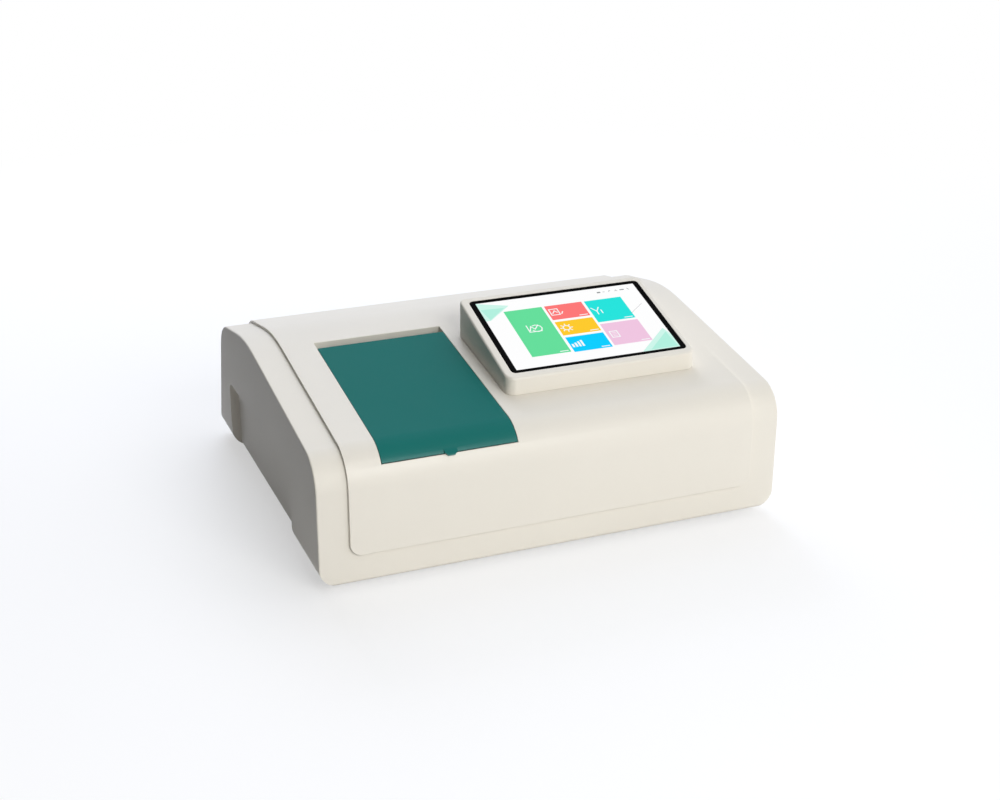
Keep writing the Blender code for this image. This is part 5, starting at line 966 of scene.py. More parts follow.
def proud(point: Vector) -> float:
    """Measure how far a point stands outside the case's own outline, from the side.

    Args:
        point: Point in the world, with all parts at rest.

    Returns:
        The distance in metres, less than 0 inside.
    """
    place = CASE_FRAME.inverted() @ point
    spot = Vector((place.y, place.z))
    slope = Vector((-math.sin(SLOPE_TILT), math.cos(SLOPE_TILT)))
    fall = Vector((math.sin(FALL_TILT), math.cos(FALL_TILT)))
    back = Vector((math.cos(BACK_LEAN), math.sin(BACK_LEAN)))
    peak = Vector((PEAK_DISTANCE, SLOPE_FOOT + PEAK_DISTANCE * math.tan(SLOPE_TILT)))
    bend = Vector((FRONT_BEND, SLOPE_FOOT + FRONT_BEND * math.tan(SLOPE_TILT)
                   - FRONT_BEND / math.cos(SLOPE_TILT)))
    reach = max(-spot.x, spot.dot(slope) - SLOPE_FOOT * slope.y, spot.dot(fall) - peak.dot(fall),
                spot.dot(back) - CASE_DEPTH * back.x)
    if spot.x < bend.x and spot.y > bend.y:
        reach = (spot - bend).length - FRONT_BEND
    # Over the peak and behind it the real outline is rounded and lies inside the straight lines
    return reach if spot.x < ROUNDED_FROM else reach + ROUNDED_DROP


@dataclass
class CaseShell(Assembly):
    """Lower case, wrapped cover, lid and the screws underneath."""

    edge: float = 0.0004
    lid_edge: float = 0.0007
    middle: tuple[float, float, float] = (0, 0, 0.09)
    half_width: float = 0.2340
    hold_inner: float = 0.2145
    hold_top: float = 0.0865
    hold_front: float = 0.085
    hold_rear: float = 0.320
    hold_longer: float = 0.024
    hold_lower: float = 0.0065

    def build(self) -> None:
        """Make the fine mouldings and the screws underneath."""
        refine = self.shop.refine
        refine("main_cover", "cover_moulding", "Cover plastic", self.edge, steps=3, picks=self.cover_edge)
        refine("lower_case", "lower_moulding", "Body plastic", self.edge, picks=self.case_edge,
               settle=self.hand_hold)
        self.shop.heads("underside_screws", "Black oxide steel",
                        (grid(CASE_FRAME, (-0.19, 0.0, 0.19), (0.022, 0.372), 0.0, DOWN), 0.0030, 0.0012))
        feet = [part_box(f"foot_{end}_{side}") for side, end in product(("left", "right"), ("front", "rear"))]
        seats = [at(Matrix(), (low.x + high.x) / 2, (low.y + high.y) / 2, low.z + 0.003, DOWN)
                 for low, high in feet]
        self.shop.heads("foot_screws", "Bright steel", (seats, 0.0036, 0.0018))
        refine("sample_lid", "lid_moulding", "Teal lid plastic", self.lid_edge, Body.LID, 3,
               lambda edge: all(proud(vertex.co) > 0.0027 for vertex in edge.verts))

    def cover_edge(self, edge: Edge) -> bool:
        """Tell whether an edge bounds the cover's outside skin.

        Args:
            edge: Edge of the cover.

        Returns:
            True where it does.
        """
        middle = Vector(self.middle)
        out = [face for face in edge.link_faces
               if face.normal.dot(face.calc_center_median() - middle) > 0 and abs(face.normal.x) < 0.5]
        return bool(out) and all(proud(vertex.co) > 0.0025 for vertex in edge.verts)

    def case_edge(self, edge: Edge) -> bool:
        """Tell whether an edge of the lower case is on its outside and stands out."""
        return edge.is_convex and all(proud(vertex.co) > -0.0003 or abs(vertex.co.x) > self.half_width
                                      for vertex in edge.verts)

    def hand_hold(self, point: Vector) -> Vector:
        """Let the hand holds reach as far back as the photo's.

        Args:
            point: Point of the lower case.

        Returns:
            Its last place.
        """
        place = CASE_FRAME.inverted() @ point
        held = abs(place.x) > self.hold_inner and place.z < self.hold_top
        if held and self.hold_front < place.y < self.hold_rear:
            place.y += self.hold_longer * (place.y > CASE_DEPTH / 2)
            place.z -= self.hold_lower * (place.z > self.hold_top / 2)
        return CASE_FRAME @ place


@dataclass
class ScreenConsole(Assembly):
    """Wedge console with its cover glass and the lit picture on it."""

    housing_edge: float = 0.0003
    glass_edge: float = 0.0005
    line: float = 0.0011
    field_low: Spot = (-0.0128, 0.0121)
    field_high: Spot = (0.1625, 0.1256)
    tiles: tuple = (
        ("green", (0.0100, 0.0283), (0.0513, 0.1064)),
        ("coral", (0.0540, 0.0819), (0.0952, 0.1064)),
        ("orange", (0.0540, 0.0550), (0.0954, 0.0783)),
        ("blue", (0.0543, 0.0268), (0.0955, 0.0515)),
        ("turquoise", (0.0980, 0.0683), (0.1393, 0.1060)),
        ("pink", (0.0980, 0.0285), (0.1398, 0.0650)),
    )

    def build(self) -> None:
        """Make housing, glass and picture."""
        inverse = SCREEN_FRAME.inverted()

        def wall(edge: Edge) -> bool:
            """Tell whether an edge bounds the pocket round the glass."""
            return all(abs((inverse @ vertex.co).z) < 0.0001 for vertex in edge.verts)

        self.shop.refine("console_housing", "console_moulding", "Cover plastic", self.housing_edge,
                         picks=wall)
        self.shop.refine("touch_glass", "screen_glass", "Black screen glass", self.glass_edge, steps=3,
                         picks=wall)
        self.picture()
        self.icons()

    def plate(self, shape: Shape, outline: Outline, layer: int, finish: int = 0) -> None:
        """Lay one thin lit plate of the picture on the glass, in a layer from one upwards."""
        shape.prism(outline, (layer - 1) * SKIN, layer * SKIN, SCREEN_FRAME, 0.0, finish)

    def picture(self) -> None:
        """Lay the lit field, its corner shapes and the tiles."""
        low, high = self.field_low, self.field_high
        shape = Shape()
        self.plate(shape, rounded(low, high, 0.0008), 1)
        self.shop.make(shape, "screen_field", "Lit white")
        shape = Shape()
        top_left, bottom_right = (low[0], high[1]), (high[0], low[1])
        for (x, y), layer, points in (
                (top_left, 2, ((0, 0), (0, -0.031), (0.005, -0.031), (0.032, -0.010))),
                (bottom_right, 2, ((0, 0), (0, 0.022), (-0.004, 0.033), (-0.041, 0))),
                (top_left, 3, ((0.0012, -0.0115), (0.005, -0.0300), (0.0262, -0.0128))),
                (bottom_right, 3, ((-0.0015, 0.0015), (-0.0035, 0.0265), (-0.0310, 0.0015)))):
            self.plate(shape, [(x + across, y + rise) for across, rise in points], layer, layer - 2)
        self.shop.make(shape, "screen_corners", "Lit pale mint", "Lit mint")
        for name, start, end in self.tiles:
            shape = Shape()
            self.plate(shape, rounded(start, end, 0.0005), 2)
            self.shop.make(shape, f"screen_tile_{name}", f"Lit {name}")

    def bar(self, shape: Shape, points: Outline, width: float, layer: int = 3) -> None:
        """Draw a line of short bars through points on the screen.

        Args:
            shape: Shape that is added to.
            points: Points of the line.
            width: Width of the line.
            layer: Layer that it lies in.
        """
        for first, second in pairwise(points):
            start, end = Vector(first), Vector(second)
            along = (end - start).normalized() * width / 2
            across = Vector((-along.y, along.x))
            self.plate(shape, (start - along + across, start - along - across, end + along - across,
                               end + along + across), layer)

    def icons(self) -> None:
        """Draw a generic line icon on each tile, pale caption bars and the status marks."""
        line = self.line
        curve, sheet, sun = (0.0295, 0.0725), (0.0625, 0.0950), (0.0625, 0.0668)
        chart, funnel, page = (0.0632, 0.0395), (0.1045, 0.0880), (0.1060, 0.0460)
        dial = [math.radians(30 * step - 150) for step in range(10)]
        shape = Shape()
        self.bar(shape, arc(curve[0] + 0.003, curve[1], 0.0055, dial), line)
        strokes = [
            # Curve in its axes
            (*curve, line, ((-0.006, 0.006), (-0.006, -0.005), (0.007, -0.005))),
            (*curve, line, ((-0.005, -0.003), (-0.002, 0.004), (0.001, -0.001), (0.006, 0.005))),
            # Sheet with a curve and a pen
            (*sheet, line, ((-0.006, 0.005), (0.003, 0.005), (0.003, -0.005), (-0.006, -0.005),
                            (-0.006, 0.005))),
            (*sheet, line, ((-0.004, -0.002), (-0.001, 0.002), (0.001, -0.001))),
            (*sheet, line, ((0.005, -0.004), (0.007, -0.001))),
            # Round of a sun, with its rays
            (*sun, line, arc(0, 0, 0.0036, (math.tau * step / 12 for step in range(13)))),
            *((*sun, line, (*arc(0, 0, 0.0050, [turn]), *arc(0, 0, 0.0062, [turn])))
              for turn in (math.tau * step / 8 for step in range(8))),
            # Columns of a chart
            *((*chart, line * 2, ((x, -0.004), (x, rise)))
              for x, rise in ((0.0035 * step - 0.006, 0.0015 * step - 0.001) for step in range(4))),
            # Funnel and mark
            (*funnel, line, ((-0.004, 0.005), (0, -0.001), (0.004, 0.005))),
            (*funnel, line, ((0, -0.001), (0, -0.006))),
            (*funnel, line, ((0.005, -0.005), (0.005, 0))),
            # Page of text
            (*page, line, ((-0.004, 0.005), (0.004, 0.005), (0.004, -0.005), (-0.004, -0.005),
                           (-0.004, 0.005))),
            *((*page, line / 2, ((-0.002, rise), (0.002, rise))) for rise in (-0.0025, 0, 0.0025)),
            # Captions
            *((end[0], start[1], line, ((-0.0105, 0.0026), (-0.0025, 0.0026)))
              for _, start, end in self.tiles),
        ]
        for x, y, width, points in strokes:
            self.bar(shape, [(x + across, y + rise) for across, rise in points], width)
        self.shop.make(shape, "screen_icons", "Lit line white")
        shape = Shape()
        y = self.field_high[1] - 0.0078
        for width, points in (
                (0.0022, ((0.1192, 0), (0.1208, 0))), (0.0006, ((0.1248, 0), (0.1266, 0))),
                (0.0006, ((0.1312, -0.001), (0.1322, 0.0012), (0.1334, 0.001))),
                (0.0006, ((0.1382, -0.001), (0.1394, 0.001), (0.1406, -0.001))),
                (0.0016, ((0.1446, 0), (0.1480, 0))), (0.0008, ((0.1526, 0.001), (0.1540, -0.001)))):
            self.bar(shape, [(x, y + rise) for x, rise in points], width, 2)
        self.bar(shape, ((0.1363, 0.0747), (0.1562, 0.0900)), 0.0003, 2)
        self.shop.make(shape, "screen_status_marks", "Lit grey")


@dataclass
class RearFittings(Assembly):
    """Screws, contacts and marks on the rear panel."""

    panel_face: float = -0.0033
    fan_centre: float = -0.020
    fan_spread: float = 0.025
    guard_face: float = -0.0016
    serial_centre: float = 0.160
    pin_pitch: float = 0.00277
    usb_centre: float = 0.118
    inlet_centre: float = -0.168
    drawer_rise: float = FEATURE_RISE - 0.0125
    switch_centre: float = -0.122
    rocker_tilt: float = math.radians(9.0)
    rocker_half: float = 0.0105
    rocker_crest: float = 0.0040

    def build(self) -> None:
        """Make everything that is fixed to the back."""
        low_row, high_row = (-0.1955, -0.0980, 0.0, 0.0980, 0.1955), (-0.1955, -0.0980, 0.0980, 0.1955)
        self.shop.heads("panel_screws", "Black oxide steel",
                        (grid(BACK_FRAME, low_row, [0.0215], self.panel_face), 0.0027, 0.0014),
                        (grid(BACK_FRAME, high_row, [0.0975], self.panel_face), 0.0027, 0.0014))
        across = (self.fan_centre - self.fan_spread, self.fan_centre + self.fan_spread)
        upward = (FEATURE_RISE - self.fan_spread, FEATURE_RISE + self.fan_spread)
        self.shop.heads("fan_screws", "Black oxide steel",
                        (grid(BACK_FRAME, across, upward, self.guard_face), 0.0028, 0.0013))
        self.serial()
        self.grips()
        self.rocker()

    def serial(self) -> None:
        """Make the serial port's insert, its nine pins and the two jack posts."""
        shape = Shape()
        corners = ((-0.0060, -0.0031), (0.0060, -0.0031), (0.0072, 0.0031), (-0.0072, 0.0031))
        shape.prism([(self.serial_centre + x, FEATURE_RISE + y) for x, y in corners], -0.0080, -0.0062,
                    BACK_FRAME, 0.0002)
        self.shop.make(shape, "serial_insert", "Black plastic")
        shape = Shape()
        for row, count in ((-0.00142, 4), (0.00142, 5)):
            for number in range(count):
                across = self.serial_centre + (number - (count - 1) / 2) * self.pin_pitch
                shape.turned(((0.0005, -0.0062), (0.0005, -0.0012), (0.00035, -0.0007), (0.0001, -0.0006)),
                             at(BACK_FRAME, across, FEATURE_RISE + row, 0), SMALL_SIDES // 2)
        self.shop.make(shape, "serial_pins", "Gold contact")
        shape = Shape()
        for side in (-0.0125, 0.0125):
            shape.hoop(((0.0013, 0.0005), (0.0026, 0), (0.0026, 0.0038), (0.0023, 0.0042), (0.0013, 0.0042)),
                       at(BACK_FRAME, self.serial_centre + side, FEATURE_RISE, -0.0021), 6)
        self.shop.make(shape, "serial_posts", "Bright steel")

    def grips(self) -> None:
        """Make the contacts on the tongue of the USB port and the grip ribs of the fuse drawer."""
        shape = Shape()
        for low, high in ((-0.0018, -0.0017), (0.0017, 0.0018)):
            for number in (-0.00125, 0.00125):
                middle = self.usb_centre + number
                shape.brick((middle - 0.0005, FEATURE_RISE + low), (middle + 0.0005, FEATURE_RISE + high),
                            -0.0120, -0.0046, BACK_FRAME, 0.00003)
        self.shop.make(shape, "usb_contacts", "Gold contact")
        shape = Shape()
        for number in range(-2, 3):
            shape.brick(*around(self.inlet_centre, self.drawer_rise + number * 0.0013, 0.0055, 0.0003),
                        -0.0011, -0.0006, BACK_FRAME, 0.00015)
        self.shop.make(shape, "drawer_grip", "Black plastic", body=Body.DRAWER)

    def rocker(self) -> None:
        """Mould the on and off marks into the two faces of the rocker."""
        tilts = [Matrix.Rotation(turn, 4, "X") for turn in (-self.rocker_tilt, self.rocker_tilt)]
        middle = self.rocker_crest - self.rocker_half * math.tan(self.rocker_tilt) / 2
        frame = at(BACK_FRAME, self.switch_centre, FEATURE_RISE, -0.0050, tilts[0])
        lower, upper = (at(frame, 0, side * self.rocker_half / 2, middle, tilt)
                        for side, tilt in zip((-1, 1), tilts))
        shape = Shape()
        shape.brick((-0.0004, -0.0022), (0.0004, 0.0022), -0.0001, 0.00008, upper, 0.00005)
        shape.hoop(((0.0015, -0.0001), (0.0022, -0.0001), (0.0022, 0.00008), (0.0015, 0.00008)), lower)
        self.shop.make(shape, "rocker_marks", "Printed white", body=Body.ROCKER)


@dataclass
class SampleCompartment(Assembly):
    """Fine parts of the cell changer and the tub, seen when the lid is open."""

    middle: float = -0.106
    beam: float = 0.1125
    pitch: float = 0.020
    rail_height: float = 0.030
    rail_spread: float = 0.022
    tub_front: float = 0.0345
    tub_rear: float = 0.19055
    floor: float = 0.0121
    changer_front: float = 0.10245
    changer_rear: float = 0.18255
    carriage_top: float = 0.036

    def build(self) -> None:
        """Make the thread, the blocks, the springs, the bushes and the screws."""
        shop = self.shop
        shape = Shape()
        shape.threaded(at(CASE_FRAME, self.middle, 0, self.rail_height, BACKWARD), 0.0033, 0.0040, 0.012, 4,
                       0.0348, 0.1933)
        shop.make(shape, "drive_screw_thread", "Bright steel", body=Body.SCREW, replaced="cell_drive_screw")
        shop.refine("cell_holder", "cell_holder_block", "Black anodised metal", 0.0003, Body.CHANGER)
        shop.refine("cell_carriage", "carriage_block", "Milled aluminium", 0.0004, Body.CHANGER)
        shop.refine("sample_tub", "tub_moulding", "Black plastic", 0.0004)
        shape = Shape()
        for number, (low, high) in product(range(4), ((0.070, 0.0745), (0.0925, 0.0955))):
            place = self.beam + number * self.pitch
            shape.brick((place - 0.0022, low), (place + 0.0022, high), self.middle + 0.0061,
                        self.middle + 0.00645, CASE_FRAME @ CROSSWISE, 0.0001)
        shop.make(shape, "cell_springs", "Bright steel", body=Body.CHANGER)
        self.washers("tub_bushes", "Milled aluminium", Body.CASE, (0.0031, 0.0042), (0.0028, 0.0018),
                     ((self.tub_front, BACKWARD), (self.tub_rear, FORWARD)))
        self.washers("carriage_bearings", "Bright steel", Body.CHANGER, (0.0034, 0.0044), (0.0018, 0.0007),
                     ((self.changer_front, FORWARD), (self.changer_rear, BACKWARD)))
        self.screws()

    def washers(self, name: str, look: str, body: Body, holes: Spot, size: Spot,
                faces: Sequence[tuple[float, Matrix]]) -> None:
        """Put a washer round each rod and the drive screw where they pass a wall.

        Args:
            name: Name of the piece.
            look: Its finish.
            body: Body that carries it.
            holes: Radius round a rod and round the screw.
            size: Width and height of a washer.
            faces: Places of the walls, each with its direction.
        """
        shape = Shape()
        rods = ((-self.rail_spread, holes[0]), (self.rail_spread, holes[0]), (0.0, holes[1]))
        for (x, radius), (place, spin) in product(rods, faces):
            shape.washer(at(CASE_FRAME, self.middle + x, place, self.rail_height, spin), radius,
                         radius + size[0], size[1])
        self.shop.make(shape, name, look, body=body)

    def screws(self) -> None:
        """Put screws in the tub's floor, the carriage and the brackets."""
        self.shop.heads("tub_screws", "Black oxide steel",
                        (grid(CASE_FRAME, (-0.156, -0.056), (0.042, 0.183), self.floor), 0.0026, 0.0013))
        across = (self.middle - 0.0175, self.middle + 0.0175)
        along = ends(self.changer_front, self.changer_rear, 0.006)
        self.shop.heads("carriage_screws", "Black oxide steel",
                        (grid(CASE_FRAME, across, along, self.carriage_top), 0.0024, 0.0018),
                        body=Body.CHANGER, capped=True)
        seats = []
        for side, shift in (("left", 0.0016), ("right", -0.0016)):
            low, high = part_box(f"hinge_bracket_{side}")
            seats += [at(Matrix(), (low.x + high.x) / 2 + x + shift, low.y + 0.0023, low.z + 0.0042, BACKWARD)
                      for x in (-0.0042, 0.0042)]
        self.shop.heads("bracket_screws", "Bright steel", (seats, 0.0015, 0.0008))


@dataclass
class InnerOptics(Assembly):
    """Screws, slit blades, filters and lamp parts inside the case."""

    wheel_reach: float = 0.016
    bulb_wall: float = 0.0008
    bulb_foot: float = 0.065
    lead_foot: float = 0.064

    def build(self) -> None:
        """Make the fine parts of every optical assembly."""
        self.cover_screws()
        self.blades()
        self.filters()
        self.lamps()

    def cover_screws(self) -> None:
        """Put screws in the covers, on the bench and on the motors."""
        world = Matrix()
        low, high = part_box("monochromator_cover")
        centre = (low + high) / 2
        across = (low.x + 0.0065, centre.x, high.x - 0.0065)
        along = (low.y + 0.0065, centre.y, high.y - 0.0065)
        cover = grid(world, across, along, high.z)
        del cover[len(cover) // 2]
        low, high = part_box("optical_bench")
        bench = grid(world, (-0.19, -0.095, 0.0, 0.095, 0.19), (low.y + 0.005, high.y - 0.0075), high.z)
        self.shop.heads("optics_cap_screws", "Black oxide steel", (cover, 0.0028, 0.0022),
                        (bench, 0.0030, 0.0026), capped=True)
        low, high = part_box("lamp_housing")
        lamps = grid(world, ends(low.x, high.x, 0.005), ends(low.y, high.y, 0.005), high.z)
        low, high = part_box("detector_board")
        detector = [at(world, low.x + 0.002, y, z, LEFTWARD)
                    for y, z in product(ends(low.y, high.y, 0.004), ends(low.z, high.z, 0.004))]
        low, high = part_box("grating_motor")
        grating = grid(world, ends(low.x, high.x, 0.005), ends(low.y, high.y, 0.005), high.z - 0.002)
        low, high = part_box("filter_motor")
        wheel = [at(world, x, low.y + 0.002, z, FORWARD)
                 for x, z in product(ends(low.x, high.x, 0.004), (high.z - 0.004, high.z - 0.024))]
        self.shop.heads("optics_screws", "Bright steel", (lamps, 0.0022, 0.0012),
                        (detector, 0.0017, 0.0010), (grating, 0.0015, 0.0008), (wheel, 0.0013, 0.0007))

    def blades(self) -> None:
        """Make the two thin blades and clamp screws of each slit."""
        shape = Shape()
        low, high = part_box("entrance_slit")
        entrance = Matrix.Translation(((low.x + high.x) / 2, high.y, (low.z + high.z) / 2)) @ BACKWARD
        low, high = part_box("exit_slit")
        leaving = (Matrix.Translation((low.x, (low.y + high.y) / 2, (low.z + high.z) / 2)) @ LEFTWARD
                   @ Matrix.Rotation(math.pi / 2, 4, "Z"))
        for frame, side in product((entrance, leaving), (-1, 1)):
            near, far = sorted((side * 0.0004, side * 0.0070))
            shape.brick((near, -0.0068), (far, 0.0068), 0.0, 0.0003, frame, 0.0001)
            for rise in (-0.0045, 0.0045):
                shape.screw(at(frame, side * 0.0045, rise, 0.0003), 0.0010, 0.0006)
        self.shop.make(shape, "slit_blades", "Bright steel")

    def filters(self) -> None:
        """Set five glasses and their rings in the filter wheel; the hole in the beam stays open."""
        low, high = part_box("filter_wheel")
        glasses, rings = Shape(), Shape()
        turns = [math.pi + math.tau * number / 6 for number in range(1, 6)]
        places = arc((low.x + high.x) / 2, (low.z + high.z) / 2, self.wheel_reach, turns)
        for number, (x, z) in enumerate(places, 1):
            frame = Matrix.Translation((x, low.y, z)) @ BACKWARD
            glasses.turned(((0.0046, 0.0008), (0.0048, 0.0010), (0.0048, 0.0020), (0.0046, 0.0022)), frame,
                           ROUND_SIDES, number % 3)
            rings.hoop(((0.0040, 0.0024), (0.0048, 0.0024), (0.0048, 0.0029), (0.0040, 0.0029)), frame)
        self.shop.make(glasses, "filter_glasses", "Amber glass", "Violet glass", "Grey glass",
                       body=Body.WHEEL)
        self.shop.make(rings, "filter_rings", "Bright steel", body=Body.WHEEL)

    def lamps(self) -> None:
        """Make the hollow bulbs with their bases, the discharge box and the filament."""
        axis = self.bulb("deuterium", 0.0135, 0.017)
        shape = Shape()
        shape.brick((-0.0065, -0.0065), (0.0065, 0.0065), 0.078, 0.102, axis, 0.0012)
        shape.hoop(((0.0022, 0.0), (0.0042, 0.0), (0.0036, 0.0016), (0.0022, 0.0016)),
                   at(axis, 0.0065, 0, 0.091, RIGHTWARD))
        for x in (-0.004, 0.004):
            shape.tube([axis @ Vector((x, 0, level)) for level in (self.lead_foot, 0.0785)], 0.0006, 8)
        self.shop.make(shape, "deuterium_discharge_box", "Milled aluminium")
        axis = self.bulb("tungsten", 0.006, 0.009)
        turns = [math.tau * step / 10 for step in range(61)]
        coil = [Vector((*spot, 0.0885 + turn * 0.00013))
                for spot, turn in zip(arc(0, 0, 0.0011, turns), turns)]
        shape = Shape()
        for path in ([Vector((0.0011, 0, self.lead_foot))] + coil,
                     [coil[-1], Vector((-0.0028, 0, 0.0925)), Vector((-0.0028, 0, self.lead_foot))]):
            shape.tube([axis @ point for point in path], 0.00022, 6)
        self.shop.make(shape, "tungsten_filament", "Bright steel")

    def bulb(self, name: str, radius: float, base: float) -> Matrix:
        """Make one hollow bulb on its base.

        Args:
            name: Name of the lamp.
            radius: Radius of the bulb.
            base: Radius of the base.

        Returns:
            Frame on the lamp's axis, level with the world's zero.
        """
        low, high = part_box(f"{name}_lamp")
        axis = Matrix.Translation(((low.x + high.x) / 2, (low.y + high.y) / 2, 0))
        waist, steps = self.bulb_foot, CORNER_STEPS * 2
        walls = []
        for reach, least in ((radius, WELD), (radius - self.bulb_wall, WELD / 2)):
            dome = arc(0, high.z - radius, reach, (math.pi / 2 * step / steps for step in range(steps + 1)))
            walls.append([(reach, waist)] + [(max(across, least), level) for across, level in dome])
        shape = Shape()
        shape.hoop(walls[0] + walls[1][::-1], axis)
        self.shop.make(shape, f"{name}_bulb", "Clear glass", replaced=f"{name}_lamp")
        shape = Shape()
        shape.turned(((base - 0.0006, low.z), (base, low.z + 0.0006), (base, waist - 0.0016),
                      (base - 0.0010, waist - 0.0008), (base - 0.0010, waist + 0.0002),
                      (0.001, waist + 0.0002)), axis)
        for share in (0.3, 0.5, 0.7):
            rise = low.z + (waist - low.z) * share
            shape.hoop(((base - 0.0004, rise - 0.0012), (base, rise - 0.0008), (base, rise + 0.0008),
                        (base - 0.0004, rise + 0.0012)), axis)
        self.shop.make(shape, f"{name}_base", "Unglazed ceramic")
        return axis


@dataclass
class Electronics(Assembly):
    """Small parts on the main board and inside the power supply."""

    board_top: float = 0.0306
    header_top: float = 0.0085
    plate_top: float = 0.0056
    terminal_pitch: float = 0.0108

    def build(self) -> None:
        """Make the board's and the supply's small parts."""
        self.board()
        self.supply()

    def board(self) -> None:
        """Place cans, headers, small chips and screws on the main board; places are shares of its size."""
        low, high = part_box("main_board")
        frame = Matrix.Translation((low.x, low.y, self.board_top))
        width, length = high.x - low.x, high.y - low.y
        shape = Shape()
        for x, y, radius, height in ((0.655, 0.16, 0.0040, 0.0085), (0.655, 0.27, 0.0040, 0.0085),
                                     (0.655, 0.38, 0.0032, 0.0065), (0.93, 0.30, 0.0040, 0.0085)):
            shape.can(at(frame, x * width, y * length, 0), radius, height,
                      ((1.0, 0), (1.0, height * 0.12), (0.93, height * 0.16), (1.0, height * 0.2)), 0.0006)
        self.shop.make(shape, "board_capacitors", "Milled aluminium")
        shape = Shape()
        for x, y, across, along, height in (
                (0.40, 0.075, 0.14, 0.05, 0.0085), (0.18, 0.075, 0.16, 0.05, 0.0085),
                (0.62, 0.60, 0.05, 0.10, 0.0030), (0.88, 0.56, 0.09, 0.07, 0.0024),
                (0.36, 0.36, 0.05, 0.09, 0.0016), (0.10, 0.56, 0.07, 0.05, 0.0016)):
            shape.brick(*around(x * width, y * length, across * width / 2, along * length / 2), 0, height,
                        frame, 0.0003)
        self.shop.make(shape, "board_connectors", "Black plastic")
        shape = Shape()
        for number in range(16):
            x, y = 0.31 + 0.035 * (number % 4), 0.50 + 0.028 * (number // 4)
            shape.brick(*around(x * width, y * length, 0.0010, 0.0006), 0, 0.0006, frame, 0.0001)
        for number, row in product(range(10), (0.066, 0.084)):
            shape.brick(*around((0.115 + 0.0145 * number) * width, row * length, 0.0003, 0.0003),
                        self.header_top, 0.0100, frame, 0.0001)
        self.shop.make(shape, "board_small_parts", "Gold contact")
        self.shop.heads("board_screws", "Bright steel",
                        (grid(frame, ends(0, width, 0.006), ends(0, length, 0.006), 0), 0.0026, 0.0013))

    def supply(self) -> None:
        """Fill the open cage with its board, transformer, cans and terminals."""
        low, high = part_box("power_supply")
        frame = Matrix.Translation((low.x, low.y, low.z + 0.0015))
        width, length = high.x - low.x, high.y - low.y
        floor = self.plate_top
        shape = Shape()
        shape.brick((0.004, 0.004), (width - 0.004, length - 0.004), 0.004, floor, frame, 0.0004)
        self.shop.make(shape, "supply_board", "Supply circuit board")
        shape = Shape()
        shape.brick((0.030, 0.034), (0.066, 0.068), floor, 0.030, frame, 0.0010)
        shape.brick((0.034, 0.028), (0.062, 0.074), 0.010, 0.026, frame, 0.0040)
        shape.brick((0.010, 0.004), (width - 0.012, 0.013), floor, 0.017, frame, 0.0006)
        self.shop.make(shape, "supply_transformer", "Black plastic")
        shape = Shape()
        for x, y, radius, height in ((0.016, 0.030, 0.0075, 0.030), (0.016, 0.050, 0.0075, 0.030),
                                     (0.082, 0.040, 0.0055, 0.024), (0.082, 0.056, 0.0055, 0.024)):
            shape.can(at(frame, x, y, 0), radius, height,
                      ((1.0, floor), (1.0, 0.0085), (0.94, 0.0095), (1.0, 0.0105)), 0.0008)
        shape.brick((0.070, 0.070), (0.074, 0.092), floor, 0.034, frame, 0.0004)
        self.shop.make(shape, "supply_capacitors", "Milled aluminium")
        across = [0.017 + number * self.terminal_pitch for number in range(7)]
        self.shop.heads("supply_terminals", "Bright steel",
                        (grid(frame, across, [0.0085], 0.017), 0.0028, 0.0012))


@dataclass
class FineEdges(Assembly):
    """Copies of plain solids with their edges rounded over."""

    parts: tuple = (
        ("power_inlet", "inlet_moulding", "Black plastic", 0.0003),
        ("power_switch_frame", "switch_bezel", "Black plastic", 0.0003),
        ("power_rocker", "rocker_key", "Black plastic", 0.0004, Body.ROCKER),
        ("fuse_drawer", "drawer_moulding", "Black plastic", 0.0003, Body.DRAWER),
        ("cell_drive_motor", "cell_motor_housing", "Black anodised metal", 0.0004),
        ("detector_housing", "detector_block", "Black anodised metal", 0.0005),
        ("lens_mount", "lens_mount_block", "Black anodised metal", 0.0004),
        ("monochromator_cover", "monochromator_lid", "Black anodised metal", 0.0005),
        ("monochromator_housing", "monochromator_casting", "Cast aluminium", 0.0008),
        ("optical_bench", "bench_plate", "Milled aluminium", 0.0006),
        ("lamp_housing", "lamp_house_sheet", "Powder-coated sheet", 0.0005),
        ("grating_turntable", "turntable_disc", "Black anodised metal", 0.0004, Body.GRATING),
        ("diffraction_grating", "grating_blank", "Ruled coating", 0.0004, Body.GRATING),
        ("source_mirror", "source_mirror_plate", "Mirror coat", 0.0003, Body.SOURCE),
    )

    def build(self) -> None:
        """Make every copy."""
        for part in self.parts:
            self.shop.refine(*part)


